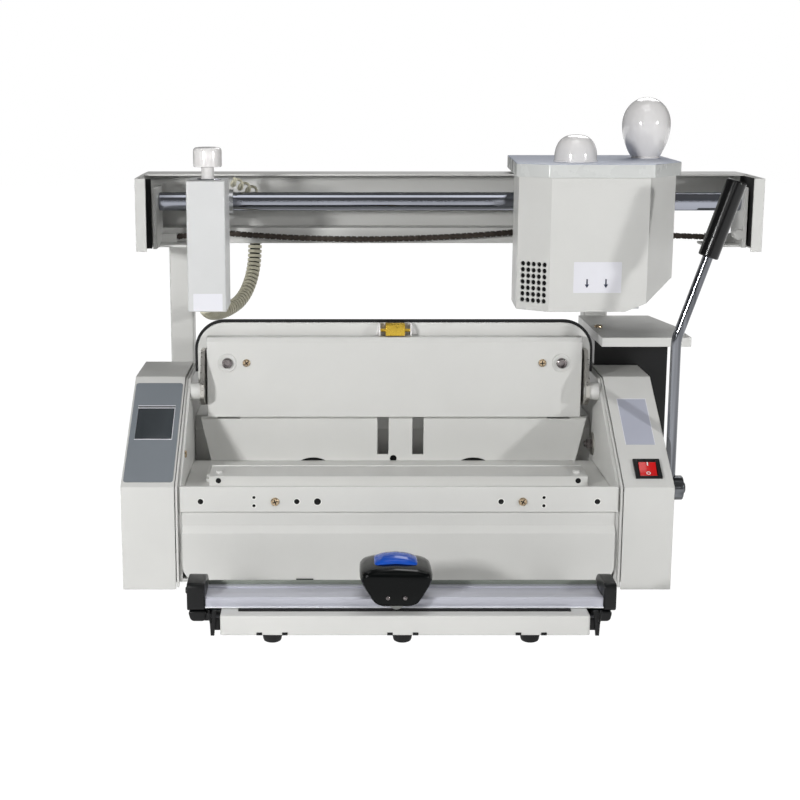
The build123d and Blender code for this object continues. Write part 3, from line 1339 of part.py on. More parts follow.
# Sliding head over the rail, with a blue press button and a crease wheel
head_front = crease_front + 5.0
head_back = hinge_y + 2.5
head_low = crease_top + 4.0
head_shoulder = 55.0
button_half = 21.5
button_low = head_top - 6.0
button_top = 70.5
wheel_radius = 7.0
wheel_y = strip_low_y + strip_width / 2
wheel_z = crease_top + strip_thick + seat + wheel_radius
head_gap = 0.4
with BuildPart() as crease_head:
    with BuildSketch(facing(head_back)) as head_outline:
        with BuildLine():
            Polyline(
                (head_x - 20.5, head_low), (head_x + 20.5, head_low), (head_x + 32.5, head_shoulder),
                (head_x + 27, head_top), (head_x - 27, head_top), (head_x - 32.5, head_shoulder), close=True,
            )
        make_face()
    extrude(head_outline.sketch, amount=head_back - head_front)
    fillet(crease_head.edges().filter_by(Axis.Y).group_by(Axis.Z)[-2], 6)
    with BuildSketch(across(head_x - 40)) as head_channel:
        with Locations(((rail_front + rail_rear) / 2, (head_low + rail_low + crease_rail_height) / 2)):
            Rectangle(crease_rail_depth + 2 * head_gap, rail_low + crease_rail_height - head_low + 2 * head_gap)
    extrude(head_channel.sketch, amount=80, mode=Mode.SUBTRACT)
    with BuildSketch(level(head_top)) as button_well:
        with Locations((head_x, (head_front + head_back) / 2)):
            RectangleRounded(2 * (button_half + head_gap), 34 + 2 * head_gap, 8)
    extrude(button_well.sketch, amount=-10, mode=Mode.SUBTRACT)
    rod(facing(wheel_y + 2), head_x, wheel_z, wheel_radius + 0.7, 4, Mode.SUBTRACT)
    rod(facing(wheel_y + 3.6), head_x, wheel_z, 2 + running, 7.2, Mode.SUBTRACT)
crease_head.part.label = "crease_head"
export_step(crease_head.part, "parts/crease_head.step")

with BuildPart() as crease_button:
    with BuildSketch(level(button_low)) as button_face:
        with Locations((head_x, (head_front + head_back) / 2)):
            RectangleRounded(2 * button_half, 34, 7.6)
    extrude(button_face.sketch, amount=button_top - button_low)
    fillet(crease_button.edges().group_by(Axis.Z)[-1], 3)
crease_button.part.label = "crease_button"
export_step(crease_button.part, "parts/crease_button.step")

with BuildPart() as crease_wheel:
    rod(facing(wheel_y + 1.2), head_x, wheel_z, wheel_radius, 2.4)
    rod(facing(wheel_y + 3.5), head_x, wheel_z, 2, 7)
crease_wheel.part.label = "crease_wheel"
export_step(crease_wheel.part, "parts/crease_wheel.step")
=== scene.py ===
# %% [markdown]
# # A desktop perfect binding machine
# The machine's solids come from a CAD model with +Z up, and every piece below is made in the same frame, in
# metres. The sheet metal keeps its CAD shape and gets paint. Turned, moulded and ribbed pieces are modelled
# again here, because their roundness, grooves and wear are what the eye reads first.

# %% Load the CAD frame
import math

import bmesh
import bpy
from mathutils import Matrix, Vector


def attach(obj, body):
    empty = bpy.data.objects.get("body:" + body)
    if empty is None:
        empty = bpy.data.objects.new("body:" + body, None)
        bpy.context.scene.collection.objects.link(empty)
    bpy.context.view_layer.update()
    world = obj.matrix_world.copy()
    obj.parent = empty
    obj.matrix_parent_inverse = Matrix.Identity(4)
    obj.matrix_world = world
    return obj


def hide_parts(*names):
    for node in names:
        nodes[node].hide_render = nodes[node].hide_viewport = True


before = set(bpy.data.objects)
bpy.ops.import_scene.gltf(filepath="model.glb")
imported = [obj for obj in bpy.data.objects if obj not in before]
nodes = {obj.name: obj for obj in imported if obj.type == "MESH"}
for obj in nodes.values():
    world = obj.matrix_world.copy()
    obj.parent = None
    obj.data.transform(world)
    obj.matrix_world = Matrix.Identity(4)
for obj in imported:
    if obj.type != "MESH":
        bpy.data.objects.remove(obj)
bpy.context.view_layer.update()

# %% [markdown]
# ## Places on the machine
# The drawing measures x from the body's centre line, y from the front of the side covers and z from the table,
# in millimetres. One small function turns such a place into a point of the scene.

# %% Places
middle_x = -59.0
middle_y = -102.25
mm = 0.001
print("the body's front middle is at", middle_x, middle_y, "mm in the scene")


def at(x, y, z):
    """A place on the machine, in millimetres from the body's centre line, front and table."""
    return Vector(((x + middle_x) * mm, (y + middle_y) * mm, z * mm))


# %% [markdown]
# ## Camera
# The photograph looks slightly down on the machine from straight in front, through a fairly long lens. The
# picture's centre is right of the lens axis, so a small sideways shift does what cropping did to the photograph,
# and the upright edges converge as they do there.

# %% Camera
image_px = 800.0
focal_px = 1542.0
axis_px = 333.0
tilt_degrees = 11.5
camera_data = bpy.data.cameras.new("camera")
camera_data.sensor_width = 36.0
camera_data.lens = focal_px / image_px * camera_data.sensor_width
camera_data.shift_x = (image_px / 2 - axis_px) / image_px
camera_data.clip_end = 20.0
camera = bpy.data.objects.new("camera", camera_data)
bpy.context.scene.collection.objects.link(camera)
camera.location = at(-62.3, -1406.0, 473.0)
camera.rotation_euler = (math.radians(90.0 - tilt_degrees), 0.0, 0.0)
bpy.context.scene.camera = camera
bpy.context.scene.view_settings.view_transform = "Standard"
print("camera at", [round(v, 3) for v in camera.location], "lens", round(camera_data.lens, 1))

# %% [markdown]
# ## Node helpers
# Every finish is a small shader tree. Noise on Object coordinates gives paint its faint cloudiness and orange
# peel at real size in millimetres, whatever the piece. A helper keeps the trees short.


# %% Shader helpers
def add_node(tree, kind, **inputs):
    """A shader node with its input sockets set by name."""
    node = tree.nodes.new(kind)
    for name, value in inputs.items():
        node.inputs[name.replace("_", " ")].default_value = value
    return node


def noise_at(tree, scale, detail=2.0, stretch=(1.0, 1.0, 1.0)):
    """Noise on Object coordinates, stretched along the axes."""
    place = tree.nodes.new("ShaderNodeTexCoord")
    mapping = add_node(tree, "ShaderNodeMapping", Scale=stretch)
    noise = add_node(tree, "ShaderNodeTexNoise", Scale=scale, Detail=detail)
    tree.links.new(place.outputs["Object"], mapping.inputs["Vector"])
    tree.links.new(mapping.outputs["Vector"], noise.inputs["Vector"])
    return noise.outputs["Fac"]


def ramp(tree, source, low, high):
    """A two-colour ramp fed by a value."""
    node = tree.nodes.new("ShaderNodeValToRGB")
    for element, position, colour in zip(node.color_ramp.elements, (0.35, 0.65), (low, high)):
        element.position = position
        element.color = (*colour, 1.0)
    tree.links.new(source, node.inputs["Fac"])
    return node.outputs["Color"]


def linear(r, g, b):
    """A colour as picked on screen, 0 to 255, turned into the linear values that shaders use."""
    def channel(v):
        v = v / 255.0
        return v / 12.92 if v <= 0.04045 else ((v + 0.055) / 1.055) ** 2.4
    return (channel(r), channel(g), channel(b))


def finish(name, screen_colour, roughness, metallic=0.0, mottle=0.06, mottle_scale=14.0, grain=0.0,
           grain_scale=900.0, stretch=(1.0, 1.0, 1.0), rough_swing=0.08, edge=0.0, coat=0.0, shine=0.5):
    """A finish with cloudy colour, uneven gloss, fine surface grain and softened sheet edges."""
    material = bpy.data.materials.new(name)
    material.use_nodes = True
    tree = material.node_tree
    shader = tree.nodes["Principled BSDF"]
    shader.inputs["Metallic"].default_value = metallic
    shader.inputs["Coat Weight"].default_value = coat
    shader.inputs["Specular IOR Level"].default_value = shine
    shader.inputs["Coat Roughness"].default_value = 0.12
    colour = linear(*screen_colour)
    low = tuple(c * (1.0 - mottle) for c in colour)
    high = tuple(min(1.0, c * (1.0 + mottle)) for c in colour)
    tree.links.new(ramp(tree, noise_at(tree, mottle_scale, 3.0, stretch), low, high),
                   shader.inputs["Base Color"])
    gloss = add_node(tree, "ShaderNodeMapRange", From_Min=0.3, From_Max=0.7,
                     To_Min=max(0.02, roughness - rough_swing), To_Max=min(1.0, roughness + rough_swing))
    tree.links.new(noise_at(tree, mottle_scale * 3.1, 4.0, stretch), gloss.inputs["Value"])
    tree.links.new(gloss.outputs["Result"], shader.inputs["Roughness"])
    normal = None
    if edge > 0.0:
        normal = add_node(tree, "ShaderNodeBevel", Radius=edge).outputs["Normal"]
    if grain > 0.0:
        bump = add_node(tree, "ShaderNodeBump", Strength=grain, Distance=0.0002)
        tree.links.new(noise_at(tree, grain_scale, 2.0, stretch), bump.inputs["Height"])
        if normal is not None:
            tree.links.new(normal, bump.inputs["Normal"])
        normal = bump.outputs["Normal"]
    if normal is not None:
        tree.links.new(normal, shader.inputs["Normal"])
    return material


# %% [markdown]
# ## Paints, metals and plastics
# The machine is powder coated in a warm light grey, with a slightly bluer coat on the milling box. Plated and
# machined steel, aluminium, brass, gloss black and white plastic make up the rest. Each is one call, with the
# grain size and gloss that the real finish has.

# %% Finishes
grey_paint = finish("grey_paint", (208, 208, 205), 0.40, mottle=0.015, grain=0.22, edge=0.0011)
box_paint = finish("box_paint", (204, 205, 205), 0.38, mottle=0.012, grain=0.18, edge=0.0012)
lid_paint = finish("lid_paint", (204, 206, 204), 0.26, mottle=0.012, grain=0.12)
overlay_film = finish("overlay_film", (122, 128, 134), 0.34, mottle=0.02, grain=0.30, grain_scale=2600.0)
black_plastic = finish("black_plastic", (13, 14, 15), 0.34, mottle=0.10, grain=0.25, edge=0.0006, shine=0.3)
black_gloss = finish("black_gloss", (9, 9, 10), 0.16, mottle=0.10, rough_swing=0.03, coat=0.1, shine=0.35)
black_rubber = finish("black_rubber", (20, 20, 21), 0.70, mottle=0.15, grain=0.5, edge=0.0006, shine=0.3)
white_gloss = finish("white_gloss", (232, 230, 229), 0.12, mottle=0.01, rough_swing=0.03, coat=0.8)
chrome = finish("chrome", (176, 178, 184), 0.09, metallic=1.0, mottle=0.06, mottle_scale=30.0, rough_swing=0.03)
# Long light and dark streaks in the rod's chrome colour: a painted reflection.
rod_chrome_painted_reflection = finish("rod_chrome_painted_reflection", (120, 122, 127), 0.13, metallic=1.0, mottle=0.75, mottle_scale=110.0,
                    stretch=(1.0, 0.05, 0.02), rough_swing=0.05)
# Stretched light and dark stripes in the hub's colour: painted highlights and shade of knurled faces.
hub_steel_painted_highlights = finish("hub_steel_painted_highlights", (92, 94, 97), 0.20, metallic=1.0, mottle=0.8, mottle_scale=260.0,
                   stretch=(0.1, 1.0, 0.3), rough_swing=0.05)
zinc = finish("zinc", (186, 184, 178), 0.32, metallic=1.0, mottle=0.10, mottle_scale=120.0, grain=0.15)
bronze_zinc = finish("bronze_zinc", (188, 168, 140), 0.26, metallic=1.0, mottle=0.30, mottle_scale=160.0)
ground_steel = finish("ground_steel", (178, 179, 176), 0.34, metallic=0.85, mottle=0.05,
                      stretch=(0.05, 1.0, 1.0), grain=0.3, edge=0.0006)
alloy = finish("alloy", (196, 198, 201), 0.30, metallic=0.9, mottle=0.08, mottle_scale=60.0,
               stretch=(0.05, 1.0, 1.0), grain=0.25, edge=0.0004)
dark_steel = finish("dark_steel", (58, 52, 47), 0.40, metallic=0.8, mottle=0.3, mottle_scale=220.0)
brass = finish("brass", (206, 172, 62), 0.30, metallic=0.75, mottle=0.10, mottle_scale=90.0, grain=0.2,
               edge=0.0008)
red_plastic = finish("red_plastic", (205, 14, 16), 0.18, mottle=0.06, coat=0.5, edge=0.0006)
blue_plastic = finish("blue_plastic", (14, 74, 176), 0.22, mottle=0.06, coat=0.10, shine=0.35)
circuit_board = finish("circuit_board", (34, 84, 52), 0.4, mottle=0.15)
cream_conduit = finish("cream_conduit", (208, 204, 182), 0.42, mottle=0.08, mottle_scale=60.0, grain=0.2)
# Near black: painted shade in holes, slots, recesses and grooves, and the crease strip's own black.
black_and_painted_shade = finish("black_and_painted_shade", (7, 7, 8), 0.95, mottle=0.05)
# Lighter than the body paint: a painted highlight on the rims of the fascia holes.
highlight_paint = finish("highlight_paint", (232, 232, 228), 0.35, mottle=0.01)
dark_bolt = finish("dark_bolt", (128, 122, 122), 0.20, metallic=1.0, mottle=0.25, mottle_scale=240.0)
label_white = finish("label_white", (224, 224, 230), 0.40, mottle=0.012)
label_lavender = finish("label_lavender", (178, 181, 195), 0.36, mottle=0.05, mottle_scale=9.0)
ink_blue = finish("ink_blue", (40, 44, 66), 0.5, mottle=0.05)
display_glass_finish = finish("display_glass_finish", (58, 63, 67), 0.10, mottle=0.22, mottle_scale=26.0,
                              stretch=(1.0, 0.12, 0.12), rough_swing=0.02, coat=0.6)
black_gloss_plastic = finish("black_gloss_plastic", (5, 7, 7), 0.15, mottle=0.12, rough_swing=0.04,
                             shine=0.14)
# Bluer paint for the lid's upward faces: a painted reflection of what is above them.
lid_top_painted_reflection = finish("lid_top_painted_reflection", (164, 171, 189), 0.36, mottle=0.02, rough_swing=0.04)
rail_steel = finish("rail_steel", (158, 161, 171), 0.12, metallic=1.0, mottle=0.12, mottle_scale=38.0,
                    stretch=(0.15, 1.0, 1.0), rough_swing=0.05)
# Darker grey-green for the rail's back lip: painted shade.
lip_painted_shade = finish("lip_painted_shade", (122, 128, 120), 0.45, metallic=0.3, mottle=0.06, mottle_scale=40.0)
# Near white for the rail's front edge: a painted highlight.
edge_painted_highlight = finish("edge_painted_highlight", (236, 238, 242), 0.30, metallic=0.2, mottle=0.02)
rail_aluminium = finish("rail_aluminium", (196, 197, 207), 0.40, metallic=0.45, mottle=0.07, mottle_scale=46.0,
                        stretch=(0.08, 1.0, 1.0), grain=0.3, rough_swing=0.12, edge=0.0004)
print("finishes", len(bpy.data.materials))


def repaint(material, *names):
    """CAD nodes keep their shape and get a finish."""
    for name in names:
        node = nodes[name]
        node.data.materials.clear()
        node.data.materials.append(material)


# %% [markdown]
# ## Painting the sheet metal
# Folded sheet parts have the right shape already: covers, panels, posts, beam, clamp plates and glue housing.
# They only need paint, and the Bevel node in that paint rounds their sharp CAD edges as a press brake would.

# %% Paint the CAD nodes
repaint(grey_paint, "base_plate", "side_plate_left", "side_plate_right", "side_cover_left",
        "side_cover_right", "front_panel", "fascia_strip", "nip_table", "inner_wall", "rear_cover",
        "beam_housing", "posts", "rail_brackets", "drip_shelf", "clamp_back_plate", "jaw_panel",
        "crease_board", "glue_housing", "clamp_pivots", "nip_front_bar", "nip_rear_bar")
repaint(box_paint, "cutter_box")
repaint(lid_paint, "glue_lid")
repaint(overlay_film, "control_overlay")
repaint(black_plastic, "display_screen", "rocker_bezel", "power_inlet", "electrics_box", "clamp_edge_trim",
        "crease_head")
repaint(black_and_painted_shade, "crease_strip")
repaint(circuit_board, "control_board")
repaint(black_rubber, "rubber_feet")
repaint(zinc, "body_screws", "jaw_screws", "jaw_guide_bolts", "clamp_arms")
repaint(ground_steel, "milling_disc", "glue_roller", "crease_wheel")
repaint(alloy, "cutter_sleeve", "glue_sleeve", "glue_tank")
repaint(rail_aluminium, "crease_rail")
repaint(rail_steel, "guide_rail")
repaint(rod_chrome_painted_reflection, "lever_rod")
repaint(hub_steel_painted_highlights, "lever_shaft")
repaint(dark_steel, "roller_chain", "cutter_motor")
repaint(black_gloss, "lever_grip")
repaint(white_gloss, "cutter_knob", "egg_knob", "fill_cap", "stop_bracket")
repaint(brass, "brass_stop")
repaint(red_plastic, "rocker")
repaint(blue_plastic, "crease_button")
repaint(cream_conduit, "conduit")
print("painted nodes", sum(1 for node in nodes.values() if node.data.materials))

# %% [markdown]
# ## Floor, backdrop and light
# The machine stands in a white studio. The floor is a pale sheet. A Light Path node lets the camera and mirrors
# see it nearly white, while all other light meets plain paint, so it still takes the machine's soft shadow.

# %% Floor
def seen_by(tree, *rays):
    """One where a ray of either kind arrives, and zero for the light that falls on the object."""
    path = tree.nodes.new("ShaderNodeLightPath")
    seen = tree.nodes.new("ShaderNodeMath")
    seen.operation = "MAXIMUM"
    for ray, socket in zip(rays, seen.inputs):
        tree.links.new(path.outputs[ray], socket)
    return seen.outputs["Value"]


floor_paint = 0.86
floor_glow_strength = 1.11
floor_glow_share = 0.90
floor_mesh = bpy.data.meshes.new("floor")
floor_build = bmesh.new()
bmesh.ops.create_grid(floor_build, x_segments=1, y_segments=1, size=6.0)
floor_build.to_mesh(floor_mesh)
floor_build.free()
floor = bpy.data.objects.new("floor", floor_mesh)
bpy.context.scene.collection.objects.link(floor)
floor_finish = bpy.data.materials.new("floor_white")
floor_finish.use_nodes = True
floor_tree = floor_finish.node_tree
floor_shader = floor_tree.nodes["Principled BSDF"]
floor_shader.inputs["Base Color"].default_value = (floor_paint, floor_paint, floor_paint, 1.0)
floor_shader.inputs["Roughness"].default_value = 0.9
floor_glow = add_node(floor_tree, "ShaderNodeEmission", Color=(1.0, 1.0, 1.0, 1.0), Strength=floor_glow_strength)
floor_share = floor_tree.nodes.new("ShaderNodeMath")
floor_share.operation = "MULTIPLY"
floor_share.inputs[1].default_value = floor_glow_share
floor_mix = floor_tree.nodes.new("ShaderNodeMixShader")
floor_tree.links.new(seen_by(floor_tree, "Is Camera Ray", "Is Glossy Ray"), floor_share.inputs[0])
floor_tree.links.new(floor_share.outputs["Value"], floor_mix.inputs["Fac"])
floor_tree.links.new(floor_shader.outputs["BSDF"], floor_mix.inputs[1])
floor_tree.links.new(floor_glow.outputs["Emission"], floor_mix.inputs[2])
floor_tree.links.new(floor_mix.outputs["Shader"], floor_tree.nodes["Material Output"].inputs["Surface"])
floor_mesh.materials.append(floor_finish)
print("floor", len(floor_mesh.polygons), "face")

# %% [markdown]
# ## World and lamps
# In the photograph the left sides of things are bright, thin shadows fall to the right, and chrome shows a long
# bright line. So a small bright lamp stands low on the left, a weaker one on the right, a long strip in front
# makes the line, and two large soft ones above and behind keep the tops light. The world behind is white to the
# camera and dim to the object.

# %% World
sky_on_object = 0.145
world = bpy.data.worlds.new("studio")
bpy.context.scene.world = world
world.use_nodes = True
sky_tree = world.node_tree
sky = sky_tree.nodes["Background"]
sky.inputs["Color"].default_value = (1.0, 1.0, 1.0, 1.0)
sky_level = add_node(sky_tree, "ShaderNodeMapRange", To_Min=sky_on_object, To_Max=1.0)
sky_tree.links.new(seen_by(sky_tree, "Is Camera Ray", "Is Transmission Ray"), sky_level.inputs["Value"])
sky_tree.links.new(sky_level.outputs["Result"], sky.inputs["Strength"])
print("world light on the object", sky_on_object)


# %% Lamps
def soft_lamp(name, place, target, size, power):
    """A square softbox aimed at a point."""
    data = bpy.data.lights.new(name, "AREA")
    data.size = size
    data.energy = power
    lamp = bpy.data.objects.new(name, data)
    bpy.context.scene.collection.objects.link(lamp)
    lamp.location = place
    lamp.rotation_euler = (Vector(target) - Vector(place)).to_track_quat("-Z", "Y").to_euler()
    return lamp


soft_lamp("lamp_left", (-0.92, -1.32, 0.55), (0.0, 0.0, 0.22), 0.15, 14.5)
soft_lamp("lamp_right", (1.25, -1.02, 0.57), (0.10, 0.0, 0.28), 0.09, 8.5)
soft_lamp("lamp_above", (0.0, -0.4, 2.0), (0.0, 0.0, 0.2), 1.0, 5.0)
soft_lamp("lamp_back", (0.5, 1.55, 1.75), (0.0, 0.1, 0.2), 1.2, 18.0)
strip = soft_lamp("lamp_strip", (0.0, -1.60, 0.56), (0.0, 0.0, 0.30), 3.4, 2.0)
strip.data.shape = "RECTANGLE"
strip.data.size_y = 0.05
print("lamps", len(bpy.data.lights))

# %% [markdown]
# ## Places that new pieces are drawn in
# New pieces are drawn in the machine's own millimetres and carried into the scene when they are finished. A flat
# outline is drawn where it is easiest to read: lying level, facing the front, seen from the side, or on the
# sloping top of a side cover. Each of these is a matrix that carries the outline's own x, y and thickness.

# %% Drawing planes
to_scene = Matrix.Scale(mm, 4) @ Matrix.Translation((middle_x, middle_y, 0.0))
cover_bend_z, cover_top_z, cover_top_y = 103.0, 184.0, 134.0
slope_angle = math.atan2(cover_top_z - cover_bend_z, cover_top_y)
print("side covers slope", round(math.degrees(slope_angle), 1), "degrees")


def level_at(z):
    """An outline in x and y, with its thickness upwards from z."""
    return Matrix.Translation((0.0, 0.0, z))


def facing_at(y):
    """An outline in x and z, with its thickness towards the front from y."""
    return Matrix(((1, 0, 0, 0), (0, 0, -1, y), (0, 1, 0, 0), (0, 0, 0, 1)))


def across_at(x):
    """An outline in y and z, with its thickness to the right from x."""
    return Matrix(((0, 0, 1, x), (1, 0, 0, 0), (0, 1, 0, 0), (0, 0, 0, 1)))


def on_slope(x, along, lift=0.0):
    """A place on the sloping top of a side cover, with its thickness away from the slope."""
    slope = Matrix.Translation((0.0, 0.0, cover_bend_z)) @ Matrix.Rotation(slope_angle, 4, "X")
    return slope @ Matrix.Translation((x, along, lift))


# %% [markdown]
# ## Ribbed conduit
# The motor's leads run in a cream ribbed conduit that leaves the channel under the beam, hangs down and swings
# forward and up into the back of the milling box. It is a cord: one smooth line through the route's points,
# with a ribbed skin wound round that line. The skin's valleys are near black, painted shade in the grooves.

# %% Conduit route and line
hose_route = [
    at(-149, 315, 316), at(-149, 315, 292), at(-152, 306, 265), at(-161, 284, 244), at(-174, 256, 236),
    at(-187, 227, 235), at(-194, 204, 240), at(-197, 186, 251), at(-198, 178, 268),
]
hose_curve = bpy.data.curves.new("conduit_line", "CURVE")
hose_curve.dimensions = "3D"
hose_spline = hose_curve.splines.new("NURBS")
hose_spline.points.add(len(hose_route) - 1)
for point, place in zip(hose_spline.points, hose_route):
    point.co = (*place, 1.0)
hose_spline.order_u = 3
hose_spline.use_endpoint_u = True
hose_spline.resolution_u = 24
hose_line = bpy.data.objects.new("conduit_line", hose_curve)
bpy.context.scene.collection.objects.link(hose_line)
hose_mesh = bpy.data.meshes.new_from_object(hose_line)
hose_path = [vertex.co.copy() for vertex in hose_mesh.vertices]
bpy.data.objects.remove(hose_line)
hose_length = sum((b - a).length for a, b in zip(hose_path, hose_path[1:]))
print("conduit line", len(hose_path), "points", round(hose_length * 1000, 1), "mm")


# %% Helpers that turn a bmesh into a finished piece
def finished(name, build, material, body, smooth_angle=30.0, place=to_scene):
    """Turns a bmesh in millimetres into an object that rides on a body and takes a finish."""
    mesh = bpy.data.meshes.new(name)
    bmesh.ops.transform(build, matrix=place, verts=build.verts)
    build.to_mesh(mesh)
    build.free()
    for face in mesh.polygons:
        face.use_smooth = True
    mesh.set_sharp_from_angle(angle=math.radians(smooth_angle))
    for one in (material if isinstance(material, list) else [material]):
        mesh.materials.append(one)
    piece = bpy.data.objects.new(name, mesh)
    bpy.context.scene.collection.objects.link(piece)
    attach(piece, body)
    print("made", name, "with", len(mesh.polygons), "faces")
    return piece


def edges_at(verts):
    """The edges that meet at some vertices."""
    return list({edge for vertex in verts for edge in vertex.link_edges})


def ring_along(build, centre, direction, radius, sides):
    """The edges of a circle that stands square to a line."""
    turn = Vector(direction).to_track_quat("Z", "X").to_matrix().to_4x4()
    made = bmesh.ops.create_circle(build, cap_ends=False, segments=sides, radius=radius,
                                   matrix=Matrix.Translation(centre) @ turn)
    return edges_at(made["verts"])


# %% Ribbed skin round the line
def point_along(path, distance):
    """Place and direction at a distance along a path."""
    for start, end in zip(path, path[1:]):
        step = (end - start).length
        if distance <= step:
            return start.lerp(end, distance / step), (end - start).normalized()
        distance -= step
    return path[-1].copy(), (path[-1] - path[-2]).normalized()


rib_count = 41
rib_step = hose_length / rib_count
valley, shoulder, crest = 5.7, 7.3, 7.6
rib_profile = ((0.0, valley), (0.20, valley), (0.22, shoulder), (0.34, crest), (0.76, crest), (0.90, shoulder),
               (0.92, valley))
hose_build = bmesh.new()
last_ring = None
for rib in range(rib_count):
    for share, radius in rib_profile:
        centre, direction = point_along(hose_path, (rib + share) * rib_step)
        ring = ring_along(hose_build, centre, direction, radius * mm, 28)
        if last_ring:
            between = bmesh.ops.bridge_loops(hose_build, edges=last_ring + ring)["faces"]
            # Faces in each valley take the near black: painted shade in the grooves between the ribs.
            for face in between:
                face.material_index = 1 if share in (0.0, 0.20) else 0
        last_ring = ring
bmesh.ops.holes_fill(hose_build, edges=[e for e in hose_build.edges if e.is_boundary], sides=0)
bmesh.ops.recalc_face_normals(hose_build, faces=hose_build.faces)
conduit_skin = finished("conduit_skin", hose_build, [cream_conduit, black_and_painted_shade], "milling_unit",
                        60.0, place=Matrix.Identity(4))
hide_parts("conduit")

# %% [markdown]
# ## Shapes made with bmesh
# Four small makers do most of the work: a lathe for round things, a rounded prism for plates and moulded bodies,
# a block with soft edges, and a screw head whose cross recess is really cut in, with painted shade on its floor.
# An extrude hands back all that it made in one list, so two helpers pick the new vertices and the new outer edges
# from it.

# %% Helpers for what an operator made
def verts_in(made):
    """The vertices in what an operator made."""
    return [item for item in made if isinstance(item, bmesh.types.BMVert)]


def edges_between(made, verts):
    """The edges in what an operator made that run between some vertices."""
    return [item for item in made if isinstance(item, bmesh.types.BMEdge) and all(v in verts for v in item.verts)]


# %% Lathe, prism and block
def join(build, part):
    """Adds one bmesh to another."""
    carrier = bpy.data.meshes.new("part")
    part.to_mesh(carrier)
    part.free()
    build.from_mesh(carrier)
    bpy.data.meshes.remove(carrier)


def turned(build, centre, axis, profile, steps=40):
    """A lathe shape: a line of (radius, height) spun round an axis."""
    part = bmesh.new()
    axis = Vector(axis).normalized()
    side = axis.orthogonal().normalized()
    line = [part.verts.new(Vector(centre) + side * radius + axis * height) for radius, height in profile]
    edges = [part.edges.new(pair) for pair in zip(line, line[1:])]
    bmesh.ops.spin(part, geom=line + edges, cent=centre, axis=axis, angle=math.tau, steps=steps,
                   use_merge=True)
    bmesh.ops.remove_doubles(part, verts=part.verts, dist=0.001)
    bmesh.ops.recalc_face_normals(part, faces=part.faces)
    join(build, part)


def prism(build, outline, thickness, place, corner=0.0, rim=0.0, both_rims=False, steps=4):
    """A flat outline with rounded corners, given thickness, with its upper rim rounded."""
    part = bmesh.new()
    part.faces.new([part.verts.new((x, y, 0.0)) for x, y in outline])
    if corner > 0.0:
        bmesh.ops.bevel(part, geom=part.verts[:], offset=corner, segments=steps, profile=0.5,
                        affect="VERTICES", material=-1, clamp_overlap=True)
    grown = bmesh.ops.extrude_face_region(part, geom=part.faces[:])
    bmesh.ops.translate(part, vec=(0.0, 0.0, thickness), verts=verts_in(grown["geom"]))
    if rim > 0.0:
        rims = [edge for edge in part.edges
                if all(abs(v.co.z - thickness) < 1e-5 for v in edge.verts)
                or (both_rims and all(abs(v.co.z) < 1e-5 for v in edge.verts))]
        bmesh.ops.bevel(part, geom=rims, offset=rim, segments=steps, profile=0.5, affect="EDGES",
                        material=-1, clamp_overlap=True)
    bmesh.ops.recalc_face_normals(part, faces=part.faces)
    bmesh.ops.transform(part, matrix=place, verts=part.verts)
    join(build, part)


def rectangle(low_x, high_x, low_y, high_y):
    """The four corners of an upright rectangle."""
    return [(low_x, low_y), (high_x, low_y), (high_x, high_y), (low_x, high_y)]


def plates(build, thickness, place, rows, **soft):
    """Rectangular plates of one thickness, side by side in one plane."""
    for row in rows:
        prism(build, rectangle(*row), thickness, place, **soft)


def block(build, low, high, soft):
    """A block between two corners, with soft edges."""
    outline = rectangle(low[0], high[0], low[1], high[1])
    prism(build, outline, high[2] - low[2], level_at(low[2]), corner=soft, rim=soft, both_rims=True, steps=2)


# %% Screw head
def screw(build, centre, axis, radius, height, turn):
    """A pan head with a cross recess cut into it, whose floor takes the second finish: painted shade in the recess.
    """
    part = bmesh.new()
    arm, half = 0.62 * radius, 0.13 * radius
    corners = [(half, half), (half, arm), (-half, arm), (-half, half), (-arm, half), (-arm, -half),
               (-half, -half), (-half, -arm), (half, -arm), (half, -half), (arm, -half), (arm, half)]
    loop = [part.verts.new((x, y, height)) for x, y in corners]
    cross = [part.edges.new(pair) for pair in zip(loop, loop[1:] + loop[:1])]
    rim = bmesh.ops.create_circle(part, cap_ends=False, segments=28, radius=0.74 * radius,
                                  matrix=Matrix.Translation((0.0, 0.0, height)))["verts"]
    ring = edges_at(rim)
    bmesh.ops.triangle_fill(part, use_beauty=True, use_dissolve=False, edges=cross + ring)
    sunk = bmesh.ops.extrude_edge_only(part, edges=cross)["geom"]
    recess_floor = verts_in(sunk)
    bmesh.ops.translate(part, vec=(0.0, 0.0, -0.6 * height), verts=recess_floor)
    bmesh.ops.contextual_create(part, geom=edges_between(sunk, recess_floor))
    # The recess floor takes the second finish, near black: painted shade in the recess.
    for face in part.faces:
        face.material_index = 1 if any(v in recess_floor for v in face.verts) else 0
    for share, drop in ((0.92 / 0.74, 0.25), (1.0 / 0.92, 0.45), (1.0, 0.3)):
        grown = bmesh.ops.extrude_edge_only(part, edges=ring)["geom"]
        outer = verts_in(grown)
        bmesh.ops.scale(part, vec=(share, share, 1.0), verts=outer)
        bmesh.ops.translate(part, vec=(0.0, 0.0, -drop * height), verts=outer)
        ring = edges_between(grown, outer)
    bmesh.ops.recalc_face_normals(part, faces=part.faces)
    turned_to = Vector(axis).to_track_quat("Z", "Y").to_matrix().to_4x4()
    bmesh.ops.transform(part, verts=part.verts, matrix=Matrix.Translation(centre) @ turned_to
                        @ Matrix.Rotation(math.radians(turn), 4, "Z"))
    join(build, part)


front = (0.0, -1.0, 0.0)
upward = (0.0, 0.0, 1.0)
downward = (0.0, 0.0, -1.0)
leftward = (-1.0, 0.0, 0.0)
rightward = (1.0, 0.0, 0.0)

